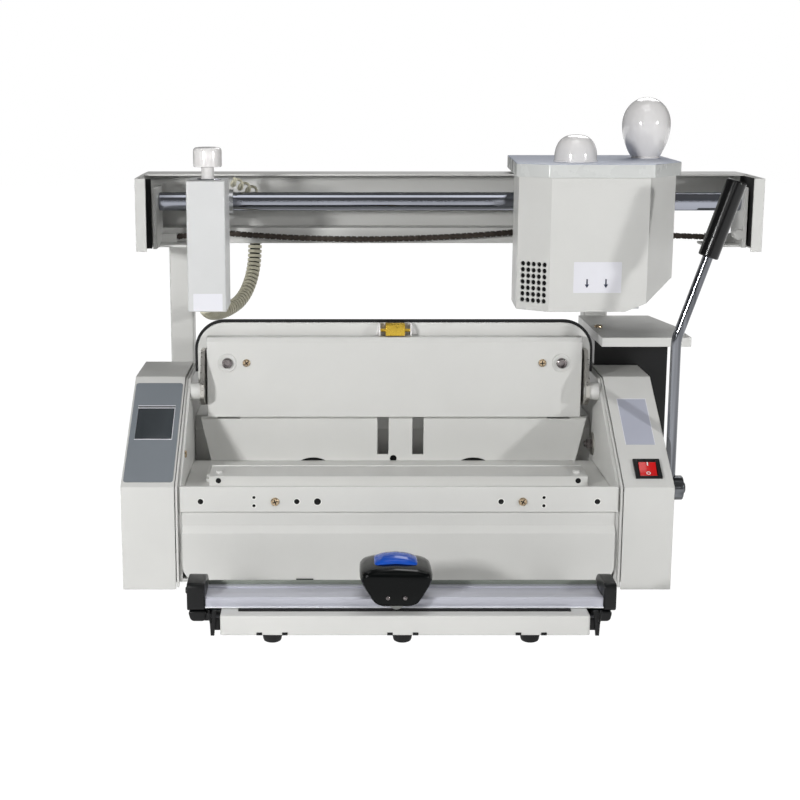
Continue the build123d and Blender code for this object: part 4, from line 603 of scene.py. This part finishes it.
# %% [markdown]
# ## Screws, bolts and painted shade in holes
# Plated pan heads hold the fascia, and two large socket bolts on round seats guide the jaw. The screws' cross
# recesses take near black as painted shade. The fascia's holes go through to darkness on the real machine, so each
# gets a black disc a little way in as painted shade, and a thin pale rim round its edge as a painted highlight.

# %% Screws in the body
fascia_z = 88.5
screw_build = bmesh.new()
for x, turn in ((-117.0, 20.0), (117.0, 62.0)):
    screw(screw_build, (x, 2.0, fascia_z), front, 4.1, 2.2, turn)
screw(screw_build, (220.0, 217.0, 222.0), upward, 4.5, 2.4, 10.0)
screw(screw_build, (358.2, 274.0, 303.0), downward, 4.0, 2.2, 25.0)
screw(screw_build, (-206.0, 50.7, 123.1), rightward, 3.6, 1.8, 40.0)
screw_and_recess_shade = [bronze_zinc, black_and_painted_shade]
body_screw_heads = finished("body_screw_heads", screw_build, screw_and_recess_shade, "machine")
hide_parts("body_screws")

# %% Fascia holes: black discs as painted shade, pale rims as painted highlight
hole_shade_build = bmesh.new()
hole_highlight_build = bmesh.new()
fascia_holes = [(side * x, fascia_z + lift, radius) for side in (-1, 1)
                for x, lift, radius in ((187.5, 0.0, 2.7), (96.5, 0.0, 2.6), (137.0, -4.0, 1.6), (137.0, 4.0, 1.6))]
fascia_holes.append((-77.0, fascia_z, 3.3))
for x, z, radius in fascia_holes:
    turned(hole_shade_build, (x, 5.95, z), front,
           [(0, 3.2), (radius - 0.03, 3.2), (radius - 0.03, 0), (0, 0)], 24)
    # Each rim is painted lighter than the fascia: a painted highlight on the hole's edge.
    turned(hole_highlight_build, (x, 2.0, z), front, [(radius, -0.4), (radius, 0.05), (radius + 0.25, 0.12),
                                           (radius + 0.8, 0.02)], 28)
finished("fascia_hole_painted_shade", hole_shade_build, black_and_painted_shade, "machine")
finished("fascia_hole_highlight_rims", hole_highlight_build, highlight_paint, "machine")

# %% Jaw bolts and screws
jaw_front_y, jaw_bolt_z = 134.0, 198.0
bolt_tail_y = 196.0
seat_build = bmesh.new()
bolt_build = bmesh.new()
for x in (-169.5, 169.5):
    turned(seat_build, (x, jaw_front_y, jaw_bolt_z), front,
           [(0, 0.5), (8.6, 0.5), (8.9, 0.75), (9.3, 0.75), (9.6, 0.0)], 48)
    turned(bolt_build, (x, jaw_front_y - 0.5, jaw_bolt_z), front,
           [(0, 1.4), (2.6, 1.4), (2.8, 3.7), (4.2, 3.9), (4.9, 3.6), (5.2, 3.0), (5.3, 0.0)], 36)
    turned(bolt_build, (x, bolt_tail_y, jaw_bolt_z), front, [(0, 0), (3.9, 0), (3.9, 61.0)], 28)
    turned(bolt_build, (x, bolt_tail_y, jaw_bolt_z), front,
           [(0, 0), (6.4, 0), (7.0, 0.6), (7.0, 6.0), (0, 6.0)], 6)
finished("jaw_bolt_seats", seat_build, grey_paint, "jaw")
jaw_bolts = finished("jaw_bolt_heads", bolt_build, dark_bolt, "jaw")
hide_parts("jaw_guide_bolts")
jaw_screw_build = bmesh.new()
for x, turn in ((-150.0, 35.0), (150.0, 5.0)):
    screw(jaw_screw_build, (x, jaw_front_y, jaw_bolt_z), front, 4.0, 2.0, turn)
jaw_small_screws = finished("jaw_small_screws", jaw_screw_build, screw_and_recess_shade, "jaw")
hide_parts("jaw_screws")

# %% [markdown]
# ## Brass stop
# A brass block hangs on a pin between two white cheeks at the top of the clamp. Block and cheeks are drawn from
# the side as prisms, because their slanted corners are seen there, and the pin is turned. Each cheek has a
# small gusset outside, drawn from the front.

# %% Brass stop between its cheeks
stop_foot_z, stop_back_y, cheek_thick = 225.1, 149.9, 1.4
stop_build = bmesh.new()
prism(stop_build, [(137.4, stop_foot_z), (stop_back_y, stop_foot_z), (stop_back_y, 236.0), (148.4, 237.4),
                   (140.4, 237.4), (137.4, 235.4)],
      19.6, across_at(-9.0), corner=0.5, rim=0.7, both_rims=True, steps=3)
turned(stop_build, (-14.3, 144.0, 230.0), rightward, [(0, 0), (1.7, 0), (1.7, 30.4), (0, 30.4)], 20)
brass_piece = finished("brass_block", stop_build, brass, "clamp")
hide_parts("brass_stop")
cheek_build = bmesh.new()
for low_x, outer_x in ((-15.7, -18.6), (16.1, 24.0)):
    prism(cheek_build, [(137.2, stop_foot_z), (stop_back_y, stop_foot_z), (stop_back_y, 237.6), (143.0, 237.6),
                        (137.2, 231.5)],
          cheek_thick, across_at(low_x), corner=0.8, rim=0.3, both_rims=True, steps=2)
    inner_x = low_x if outer_x < 0.0 else low_x + cheek_thick
    prism(cheek_build, [(inner_x, stop_foot_z), (inner_x, 237.2), (outer_x, stop_foot_z)], 2.0,
          facing_at(stop_back_y), rim=0.3, steps=2)
cheeks = finished("stop_cheeks", cheek_build, white_gloss, "clamp")
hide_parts("stop_bracket")

# %% [markdown]
# ## Small things on the sheet metal
# Some of what gives a sheet metal machine its look is thin: the washer bolt that the clamp turns on, folded
# edges, the strips that close the gaps beside the covers, and the dark that shows through holes, which black sheets
# stand in for as painted shade. Each is a plain prism, block or lathe shape laid on the CAD's own sheet.

# %% Washer bolt inside the right cover
clamp_bolt = (204.4, 147.0, 111.0)
washer_build = bmesh.new()
turned(washer_build, (206.0, 147.0, 111.0), leftward, [(0, 1.6), (11.2, 1.6), (12.0, 0.9), (12.0, 0)], 40)
finished("clamp_washer", washer_build, zinc, "machine")
nut_build = bmesh.new()
turned(nut_build, clamp_bolt, leftward, [(0, 5.0), (4.6, 5.0), (5.6, 4.2), (5.6, 0)], 6)
turned(nut_build, clamp_bolt, leftward, [(0, 7.5), (2.4, 7.5), (3.0, 6.9), (3.0, 0)], 24)
finished("clamp_washer_bolt", nut_build, dark_bolt, "machine")

# %% Inner wall: a black sheet behind its slots as painted shade, and its folded upper edge
wall_shade_build = bmesh.new()
block(wall_shade_build, (-184.0, 148.4, 16.0), (184.0, 149.4, 99.0), 0.2)
finished("inner_wall_painted_shade", wall_shade_build, black_and_painted_shade, "machine")
wall_edge_build = bmesh.new()
wall_edge_runs = ((-198.0, -181.0), (-158.0, -16.7), (-4.8, 19.3), (31.2, 158.0), (181.0, 198.0))
plates(wall_edge_build, 1.5, facing_at(145.5), [(low_x, high_x, 137.9, 140.6) for low_x, high_x in wall_edge_runs],
       rim=0.3, steps=2)
finished("inner_wall_edge", wall_edge_build, grey_paint, "machine")

# %% Strips in the gaps between covers and body
gap_strip_side = [(1.4, 4.0), (8.0, 4.0), (8.0, 98.0), (136.0, 175.5), (221.0, 175.5), (221.0, 182.4),
                  (133.6, 182.4), (1.4, 102.5)]
strip_build = bmesh.new()
for low_x in (-211.5, 209.2):
    prism(strip_build, gap_strip_side, 2.3, across_at(low_x), rim=0.3, both_rims=True, steps=2)
finished("cover_gap_strips", strip_build, grey_paint, "machine")

# %% Channel over the front nip bar, with its studs, and black discs as painted shade for its end holes
nip_stud_places = (-173.0, 174.5)
channel_side = [(38.0, 94.1), (38.0, 104.0), (79.0, 104.0), (79.4, 105.0), (80.6, 105.0), (81.0, 100.2),
                (60.0, 100.2), (53.8, 97.6), (53.8, 94.1)]
channel_build = bmesh.new()
prism(channel_build, channel_side, 366.0, across_at(-182.0), rim=0.4, both_rims=True, steps=2)
for x in nip_stud_places:
    turned(channel_build, (x, 52.0, 104.0), upward, [(0, 2.4), (2.9, 2.4), (3.4, 1.9), (3.4, -0.2)], 28)
finished("nip_bar_channel", channel_build, grey_paint, "machine", 35.0)
end_hole_shade_build = bmesh.new()
for x in nip_stud_places:
    turned(end_hole_shade_build, (x, 38.05, 99.6), front, [(0, 0.12), (2.6, 0.12), (2.7, 0)], 28)
finished("nip_end_hole_shade", end_hole_shade_build, black_and_painted_shade, "machine")

# %% Black sheets as painted shade in the beam's ends and behind the glue unit's vents
beam_end_shade_build = bmesh.new()
block(beam_end_shade_build, (-266.4, 231.0, 304.0), (-254.2, 232.2, 377.5), 0.1)
block(beam_end_shade_build, (384.0, 212.0, 304.5), (384.4, 299.0, 377.5), 0.05)
finished("beam_end_painted_shade", beam_end_shade_build, black_and_painted_shade, "machine")
vent_shade_build = bmesh.new()
vent_turn = math.atan2(125.0 - 148.0, 153.5 - 123.5)
vent_place = Matrix.Translation((139.9, 138.1, 0.0)) @ Matrix.Rotation(vent_turn, 4, "Z")
prism(vent_shade_build, rectangle(-15.5, 15.5, 0.0, 1.0), 54.0, vent_place @ level_at(256.0), corner=0.2)
finished("vent_painted_shade", vent_shade_build, black_and_painted_shade, "glue_unit")

# %% [markdown]
# ## Milling box: cap knob, spring clip, label and the wrapped leads
# The white cap is one turned piece. Its stem is slimmer and its upper edge is well rounded, so a lathe profile
# says it all. A spring clip of thin wire sits under it, and the label in front is left bare.

# %% Cap knob and its clip
knob_x, knob_y = -188.2, 157.0
knob_build = bmesh.new()
turned(knob_build, (knob_x, knob_y, 381.5), upward,
       [(0, 0), (6.9, 0), (6.9, 1.2), (6.4, 1.8), (6.3, 11.4), (6.9, 12.0), (13.6, 12.4), (14.3, 13.2),
        (14.3, 28.0), (14.0, 29.6), (13.1, 30.9), (11.6, 31.6), (9.0, 31.9), (0, 32.0)], 48)
knob = finished("cutter_cap", knob_build, white_gloss, "milling_knob", 35.0)
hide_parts("cutter_knob")
clip_build = bmesh.new()
turned(clip_build, (knob_x, knob_y, 381.3), upward,
       [(7.1, 0.2), (10.4, 0.2), (10.8, 0.6), (10.4, 1.0), (7.1, 1.0), (7.1, 0.2)], 36)
prism(clip_build, rectangle(-181.0, -174.0, 146.5, 149.0), 0.9, level_at(381.3), corner=0.6, rim=0.2)
finished("cutter_cap_clip", clip_build, chrome, "milling_unit")

# %% Bare label on the milling box
units_front_y = 125.0
label_build = bmesh.new()
prism(label_build, rectangle(-202.0, -172.8, 252.4, 269.8), 0.15, facing_at(units_front_y), corner=0.8)
finished("cutter_label", label_build, label_white, "milling_unit")

# %% [markdown]
# ## Spiral wrap
# The leads behind the box are held in a cream plastic spiral. Its line winds round a short straight one, and a
# small circle is bridged along it, as for the conduit.

# %% Spiral wrap
wrap_build = bmesh.new()
wrap_start, wrap_end = Vector((-172.0, 262.0, 374.0)), Vector((-146.0, 300.0, 358.0))
wrap_turns, wrap_steps, wrap_radius = 3.6, 96, 4.6
wrap_side = (wrap_end - wrap_start).normalized().orthogonal().normalized()
wrap_other = (wrap_end - wrap_start).normalized().cross(wrap_side)
wrap_path = []
for step in range(wrap_steps + 1):
    turn = math.tau * wrap_turns * step / wrap_steps
    wrap_path.append(wrap_start.lerp(wrap_end, step / wrap_steps)
                     + wrap_radius * (math.cos(turn) * wrap_side + math.sin(turn) * wrap_other))
last_ring = None
for step, place in enumerate(wrap_path):
    ahead = wrap_path[min(step + 1, wrap_steps)] - wrap_path[max(step - 1, 0)]
    ring = ring_along(wrap_build, place, ahead, 1.5, 8)
    if last_ring:
        bmesh.ops.bridge_loops(wrap_build, edges=last_ring + ring)
    last_ring = ring
bmesh.ops.holes_fill(wrap_build, edges=[e for e in wrap_build.edges if e.is_boundary], sides=0)
finished("spiral_wrap", wrap_build, cream_conduit, "milling_unit", 50.0)

# %% [markdown]
# ## Roller chain
# The chain hangs in a shallow curve between the two units. One link is a pair of waisted side plates with a pin
# at its end, wide and narrow by turns. The plate is a circle pulled apart into two lobes.

# %% Chain
def chain_height(x):
    """Height of the chain's middle line along the machine."""
    if x < -188.0:
        return 311.0 + 5.2 * (x + 236.0) / 48.0
    if x < 140.0:
        return 308.7 + (0.000312 if x < -33.0 else 0.000262) * (x + 33.0) ** 2
    if x < 206.0:
        return 316.5
    return 316.5 - 5.5 * (x - 206.0) / 142.2


chain_build = bmesh.new()
chain_start, link_count, link_pitch = -236.0, 92, 6.35
for link in range(link_count):
    left_x = chain_start + link * link_pitch
    tip = math.atan2(chain_height(left_x + link_pitch) - chain_height(left_x), link_pitch)
    place = (Matrix.Translation((left_x, 288.0, chain_height(left_x)))
             @ Matrix.Rotation(-tip, 4, "Y") @ facing_at(0.0))
    plate_y, plate_radius = (1.9, 3.7) if link % 2 else (2.9, 3.4)
    for side in (-1, 1):
        part = bmesh.new()
        lobes = bmesh.ops.create_circle(part, cap_ends=True, segments=12, radius=plate_radius)["verts"]
        for vertex in lobes:
            if abs(vertex.co.x) < 0.01:
                vertex.co.y *= 0.55
                vertex.co.x = link_pitch / 2
            else:
                vertex.co.x += link_pitch if vertex.co.x > 0 else 0.0
        grown = bmesh.ops.extrude_face_region(part, geom=part.faces[:])
        bmesh.ops.translate(part, vec=(0, 0, 0.8), verts=verts_in(grown["geom"]))
        bmesh.ops.recalc_face_normals(part, faces=part.faces)
        bmesh.ops.transform(part, matrix=place @ level_at(side * plate_y - 0.4), verts=part.verts)
        join(chain_build, part)
    turned(chain_build, place @ Vector((0.0, 0.0, -3.4)), front, [(0, 0), (1.1, 0), (1.1, 6.8), (0, 6.8)], 8)
chain_piece = finished("chain_links", chain_build, dark_steel, "machine")
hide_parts("roller_chain")
print("chain links", link_count)

# %% [markdown]
# ## Glue unit: dome and egg
# Both white knobs on the lid are lathe pieces in gloss white plastic. The dome stands on a low flange, and the
# egg has a thin shadow line above its seat. Their profiles are arcs, so short loops write them step by step.

# %% Dome
lid_top_z = 398.0
dome_build = bmesh.new()
dome_profile = [(0, 0), (22.2, 0), (22.3, 1.4), (21.6, 2.0), (21.5, 5.0)]
for step in range(1, 19):
    turn = math.radians(5.0 * step)
    dome_profile.append((21.5 * math.cos(turn) ** 0.72, 5.0 + 22.0 * math.sin(turn)))
dome_profile[-1] = (0.0, 27.0)
turned(dome_build, (184.3, 179.0, lid_top_z), upward, dome_profile, 64)
dome = finished("dome_cap", dome_build, white_gloss, "glue_cap", 40.0)
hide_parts("fill_cap")

# %% Egg-shaped handle
egg_wide, egg_seat, egg_middle = 25.4, 15.6, 35.7
egg_lower_arc = math.radians(38.0)
egg_build = bmesh.new()
egg_profile = [(0, 0), (15.2, 0), (15.4, 1.0), (14.3, 1.4), (14.3, 2.0), (15.6, 2.3)]
for step in range(1, 17):
    turn = egg_lower_arc * (step / 16 - 1)
    fade = (1 - step / 16) ** 2
    egg_profile.append((egg_wide * (math.cos(turn) - math.cos(egg_lower_arc) * fade) + egg_seat * fade,
                        egg_middle + 33.4 * math.sin(turn) / math.sin(egg_lower_arc)))
for step in range(1, 19):
    turn = math.radians(5.0 * step)
    egg_profile.append((egg_wide * math.cos(turn), egg_middle + 28.0 * math.sin(turn)))
egg_profile[-1] = (0.0, 63.7)
turned(egg_build, (271.3, 261.0, lid_top_z), upward, egg_profile, 64)
egg = finished("egg_handle", egg_build, white_gloss, "glue_unit", 40.0)
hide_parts("egg_knob")

# %% [markdown]
# ## Glue unit: lid and stickers
# The lid is a prism with a softly rounded upper edge. Its top looks bluer than its sides because it reflects what
# is above it, so the faces that look up take a second, bluer material: a painted reflection. The sticker on the
# front keeps only its two arrows.

# %% Lid
lid_plan = [(150.5, 121.0), (254.0, 121.0), (292.0, 177.0), (300.0, 330.0), (132.0, 330.0), (120.5, 144.0)]
lid_build = bmesh.new()
prism(lid_build, lid_plan, 13.2, level_at(384.8), corner=1.2, rim=0.9, steps=3)
# Faces that look up take the bluer paint, a painted reflection.
for face in lid_build.faces:
    face.material_index = 1 if face.normal.z > 0.6 else 0
lid = finished("glue_box_lid", lid_build, [lid_paint, lid_top_painted_reflection], "glue_unit")
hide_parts("glue_lid")

# %% Stickers on the glue housing
glue_label_build = bmesh.new()
prism(glue_label_build, rectangle(177.5, 225.4, 270.6, 301.6), 0.15, facing_at(units_front_y), corner=0.8)
finished("glue_label", glue_label_build, label_white, "glue_unit")
arrow_build = bmesh.new()
for x in (191.1, 210.0):
    arrow = [(x, 275.6), (x + 2.2, 279.2), (x + 0.75, 279.2), (x + 0.75, 284.6), (x - 0.75, 284.6),
             (x - 0.75, 279.2), (x - 2.2, 279.2)]
    prism(arrow_build, arrow, 0.08, facing_at(units_front_y - 0.15))
finished("glue_label_arrows", arrow_build, ink_blue, "glue_unit")

# %% [markdown]
# ## Power switch
# The red rocker is a shallow V seen from its end, tipped in a black bezel, with generic on and off marks. The
# bezel is four bars round its opening and a body below. All of it stands square to the cover's slope.

# %% Bezel
switch_x = 237.2
bezel_build = bmesh.new()
plates(bezel_build, 2.4, on_slope(switch_x, 23.75),
       ((-12.6, -8.6, -12.4, 12.4), (8.6, 12.6, -12.4, 12.4), (-8.6, 8.6, -12.4, -10.4), (-8.6, 8.6, 7.7, 12.4)),
       rim=0.5, steps=3)
prism(bezel_build, rectangle(-10.8, 10.8, -9.3, 9.3), 16.0, on_slope(237.5, 22.0, -16.0), corner=0.8)
bezel = finished("switch_bezel", bezel_build, black_plastic, "machine")
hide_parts("rocker_bezel")

# %% Rocker and its marks
half_tilt = math.radians(8.0)
face_tilt = math.radians(7.0)
rocker_place = on_slope(switch_x, 23.2, -2.0) @ Matrix.Rotation(half_tilt, 4, "X")
rocker_side = [(-9.4, 1.6), (-9.4, 4.9), (-5.2, 4.2), (-0.8, 3.9), (4.4, 4.2), (7.8, 4.7), (7.8, 1.6), (-0.8, 0.6)]
rocker_build = bmesh.new()
prism(rocker_build, rocker_side, 16.6, rocker_place @ across_at(-8.3),
      corner=0.45, rim=0.5, both_rims=True, steps=3)
rocker_piece = finished("switch_rocker", rocker_build, red_plastic, "power_switch", 50.0)
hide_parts("rocker")
mark_build = bmesh.new()
prism(mark_build, rectangle(-0.5, 0.5, 3.2, 7.2), 0.12,
      rocker_place @ level_at(4.42) @ Matrix.Rotation(face_tilt, 4, "X"), corner=0.2)
turned(mark_build, rocker_place @ Vector((0.0, -5.2, 4.2)),
       (rocker_place.to_3x3() @ Matrix.Rotation(-face_tilt, 3, "X")) @ Vector(upward),
       [(1.35, -0.4), (1.35, 0.14), (2.05, 0.14), (2.05, -0.4), (1.35, -0.4)], 28)
finished("switch_marks", mark_build, white_gloss, "power_switch")

# %% [markdown]
# ## Label and display
# The label on the right cover is a bare plate inside a thin pale frame. The display on the left is dark glass
# over the overlay, framed by thin pale lines, with a black strip above it as painted shade for a slot. Thin plates
# on the slope make them all.

# %% Label on the right cover
label_place = on_slope(235.6, 90.0)
slope_label_build = bmesh.new()
prism(slope_label_build, rectangle(-14.0, 14.0, -32.5, 32.5), 0.2, label_place, corner=0.6)
finished("cover_label", slope_label_build, label_lavender, "machine")
label_edge_build = bmesh.new()
plates(label_edge_build, 0.24, label_place,
       ((-14.6, 14.6, 32.4, 33.3), (13.9, 14.5, -32.8, 32.5), (-14.5, -13.9, -32.8, 32.5)))
finished("cover_label_frame", label_edge_build, label_white, "machine")

# %% Display on the left cover
display_x, display_along = -237.25, 86.5
frame_place = on_slope(display_x, display_along, 0.6)
glass_build = bmesh.new()
prism(glass_build, rectangle(-17.6, 17.6, -21.6, 21.6), 0.5, on_slope(display_x, display_along, 0.35),
      corner=0.6, rim=0.15)
finished("display_glass", glass_build, display_glass_finish, "machine")
frame_build = bmesh.new()
plates(frame_build, 0.35, frame_place,
       ((-18.6, 18.6, 25.2, 25.9), (-18.6, 18.6, 22.2, 22.9), (17.9, 18.5, -22.4, 22.2), (-18.4, 18.4, -22.6, -22.0)))
finished("display_frame", frame_build, label_white, "machine")
# A black strip above the display: painted shade for a slot.
slot_shade_build = bmesh.new()
prism(slot_shade_build, rectangle(-18.2, 18.2, 23.2, 24.9), 0.12, frame_place)
finished("display_slot_shade", slot_shade_build, black_and_painted_shade, "machine")

# %% [markdown]
# ## Creaser: head and button
# The sliding head is a moulded black body with sloping shoulders that bulges towards its middle, with a crowned
# blue button on top. A prism would look sawn off. So the front outline is carried back through sections, each a
# little wider or narrower than the last, and the ends close with a face.

# %% Loft maker
def loft(build, outline, pivot, sections, corner=0.0, steps=4):
    """A front outline carried back through sections of (y, width share, height share) about a pivot."""
    part = bmesh.new()
    part.faces.new([part.verts.new((x, y, 0.0)) for x, y in outline])
    if corner > 0.0:
        bmesh.ops.bevel(part, geom=part.verts[:], offset=corner, segments=steps, profile=0.5,
                        affect="VERTICES", material=-1, clamp_overlap=True)
    ring = part.edges[:]
    to_pivot = Matrix.Translation((-pivot[0], -pivot[1], 0.0))
    first_y, width, height = sections[0]
    bmesh.ops.scale(part, vec=(width, height, 1.0), space=to_pivot, verts=part.verts)
    for (last_y, last_width, last_height), (y, width, height) in zip(sections, sections[1:]):
        grown = bmesh.ops.extrude_edge_only(part, edges=ring)["geom"]
        moved = verts_in(grown)
        bmesh.ops.scale(part, vec=(width / last_width, height / last_height, 1.0), space=to_pivot, verts=moved)
        bmesh.ops.translate(part, vec=(0.0, 0.0, last_y - y), verts=moved)
        ring = edges_between(grown, moved)
    bmesh.ops.edgeloop_fill(part, edges=ring)
    bmesh.ops.recalc_face_normals(part, faces=part.faces)
    bmesh.ops.transform(part, matrix=facing_at(first_y), verts=part.verts)
    join(build, part)


# %% Creaser head
head_x = -7.3
head_outline = [(-14.5, 31.0), (14.5, 31.0), (20.5, 33.6), (31.0, 51.0), (32.2, 57.0), (29.5, 61.6), (20.0, 64.6),
                (0.0, 66.0), (-20.0, 64.6), (-29.5, 61.6), (-32.2, 57.0), (-31.0, 51.0), (-20.5, 33.6)]
head_build = bmesh.new()
loft(head_build, [(head_x + x, z) for x, z in head_outline], (head_x, 46.0),
     [(-76.7, 0.80, 0.64), (-78.0, 0.88, 0.76), (-82.0, 0.95, 0.88), (-90.0, 0.99, 0.96), (-104.0, 1.0, 1.0),
      (-120.0, 1.0, 0.99), (-129.0, 0.97, 0.965), (-133.2, 0.92, 0.93), (-134.6, 0.89, 0.905),
      (-135.0, 0.865, 0.885)], corner=3.2, steps=4)
head_piece = finished("creaser_head", head_build, black_gloss_plastic, "crease_carriage", 50.0)
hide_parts("crease_head")
bump_build = bmesh.new()
for x in (-7.5, 7.5):
    turned(bump_build, (head_x + x, -134.8, 39.5), front,
           [(0, 1.3), (1.2, 1.1), (1.9, 0.5), (2.2, -0.3)], 20)
finished("creaser_head_studs", bump_build, dark_bolt, "crease_carriage", 50.0)

# %% Creaser button
button_outline = [(-19.0, 60.0), (19.0, 60.0), (19.0, 66.8), (11.0, 70.4), (0.0, 71.6), (-11.0, 70.4), (-19.0, 66.8)]
button_build = bmesh.new()
loft(button_build, [(head_x + x, z) for x, z in button_outline], (head_x, 60.0),
     [(-90.0, 0.93, 0.45), (-91.5, 0.98, 0.62), (-96.0, 1.0, 0.86), (-104.0, 1.0, 1.0), (-112.0, 1.0, 0.95),
      (-116.0, 0.99, 0.84), (-118.6, 0.97, 0.74), (-119.6, 0.94, 0.60)], corner=2.2, steps=4)
button_piece = finished("creaser_button", button_build, blue_plastic, "crease_press", 50.0)
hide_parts("crease_button")

# %% [markdown]
# ## Creaser: rail, caps and brackets
# The aluminium rail shows a lip behind, painted a darker grey-green as painted shade, and a strip along its front
# edge painted near white as a painted highlight. Its black end caps are drawn from the side, with a pin turned
# into each. What holds the rail to the board is nearly the same on both sides, so a small helper makes a block on
# the right or its mirror image on the left.

# %% Rail lips: the back one in painted shade, the front edge in painted highlight
lip_shade_build = bmesh.new()
prism(lip_shade_build, rectangle(-174.0, 174.0, 34.6, 38.8), 1.4, facing_at(-81.2), rim=0.4, both_rims=True, steps=2)
finished("creaser_back_lip_shade", lip_shade_build, lip_painted_shade, "crease_bar")
edge_highlight_build = bmesh.new()
prism(edge_highlight_build, rectangle(-176.5, 174.5, 25.9, 27.1), 1.6, facing_at(-119.8), rim=0.3, both_rims=True, steps=2)
finished("creaser_front_edge_highlight", edge_highlight_build, edge_painted_highlight, "crease_bar")

# %% Rail end caps with their pins
cap_build = bmesh.new()
cap_outline = [(-122.2, 23.1), (-122.2, 48.2), (-93.0, 48.2), (-83.0, 45.0), (-76.0, 38.0), (-74.2, 30.0),
               (-81.0, 23.1)]
for low_x, wide in ((-190.0, 15.8), (174.2, 11.0)):
    prism(cap_build, cap_outline, wide, across_at(low_x), corner=5.0, rim=3.2, both_rims=True, steps=4)
for side, inner in ((-1.0, 188.0), (1.0, 183.5)):
    turned(cap_build, (side * inner, -79.0, 28.3), (side, 0.0, 0.0),
           [(0, 0), (2.5, 0), (2.5, 2.2), (3.3, 2.6), (3.3, 6.2), (2.7, 7.0), (0, 7.0)], 28)
caps = finished("creaser_end_caps", cap_build, black_plastic, "crease_bar", 45.0)
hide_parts("crease_end_caps")

# %% Brackets under the rail
def side_block(build, side, near, far, soft):
    """A block on the right side, or its mirror image on the left."""
    low_x, high_x = sorted((side * near[0], side * far[0]))
    block(build, (low_x, near[1], near[2]), (high_x, far[1], far[2]), soft)


hinge_side = [(-84.0, 14.2), (-73.5, 14.2), (-73.5, 30.0), (-76.0, 34.0), (-82.0, 34.0), (-84.0, 30.0)]
clip_arms = ([(-170.7, 28.6), (-169.2, 28.6), (-167.5, 17.0), (-169.0, 17.0)],
             [(-166.9, 28.6), (-163.2, 28.6), (-165.2, 6.2), (-168.4, 6.2), (-169.0, 18.2), (-167.0, 18.2)])
bracket_build = bmesh.new()
for outline in ([(-187.0, 13.6), (-174.0, 13.6), (-172.2, 22.9), (-189.4, 22.9)],
                [(163.5, 13.6), (180.5, 13.6), (182.5, 22.9), (161.6, 22.9)]):
    prism(bracket_build, outline, 46.0, facing_at(-75.5), corner=3.0, rim=1.6, both_rims=True, steps=4)
for side, hinge_x in ((-1.0, 191.2), (1.0, 186.4)):
    for arm in clip_arms:
        prism(bracket_build, [(-side * x, z) for x, z in arm], 2.4, facing_at(-134.6), rim=0.4, steps=2)
    side_block(bracket_build, side, (160.1, -134.0, 10.0), (168.0, -112.0, 21.5), 1.0)
    side_block(bracket_build, side, (130.0, -75.0, 5.0), (160.0, 30.0, 7.9), 0.5)
    side_block(bracket_build, side, (160.1, -121.0, 14.0), (176.0, -76.0, 21.0), 1.0)
    side_block(bracket_build, side, (164.0, -84.0, 14.0), (hinge_x, -73.0, 21.0), 0.8)
    prism(bracket_build, hinge_side, 1.4, across_at(side * (hinge_x - 0.3) - 0.7),
          corner=0.8, rim=0.3, both_rims=True, steps=2)
brackets = finished("creaser_brackets", bracket_build, black_plastic, "machine", 40.0)
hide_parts("crease_brackets")

# %% Tabs beside the board's feet and under the front panel
board_feet_x = (-115.0, -2.0, 109.0)
tab_build = bmesh.new()
block(tab_build, (-97.5, 0.2, 9.2), (-81.0, 2.8, 12.6), 0.5)
for x in board_feet_x:
    block(tab_build, (x - 13.5, -140.6, 7.8), (x - 8.6, -138.0, 10.4), 0.3)
    block(tab_build, (x + 8.6, -140.6, 7.8), (x + 13.5, -138.0, 10.4), 0.3)
finished("creaser_tabs", tab_build, black_plastic, "machine", 40.0)

# %% [markdown]
# ## Feet
# Six small rubber feet on long studs carry the creaser's board, and four wider ones carry the body. Each is a
# lathe shape that widens upwards, with a rounded edge where it meets the table.

# %% Feet
board_foot = [(0, 0), (6.2, 0), (7.4, 0.7), (8.0, 2.0), (8.9, 7.4), (8.9, 7.9), (3.9, 8.0), (3.9, 22.8),
              (0, 22.8)]
body_foot = [(0, 0), (10.4, 0), (11.4, 0.8), (12.0, 7.0), (12.0, 7.9), (0, 7.9)]
feet_build = bmesh.new()
for x in board_feet_x:
    for y in (-131.0, -74.0):
        turned(feet_build, (x, y, 0.0), upward, board_foot, 28)
for x in (-221.0, 218.0):
    for y in (51.0, 298.0):
        turned(feet_build, (x, y, 0.0), upward, body_foot, 32)
feet = finished("feet", feet_build, black_rubber, "machine", 35.0)
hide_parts("rubber_feet")
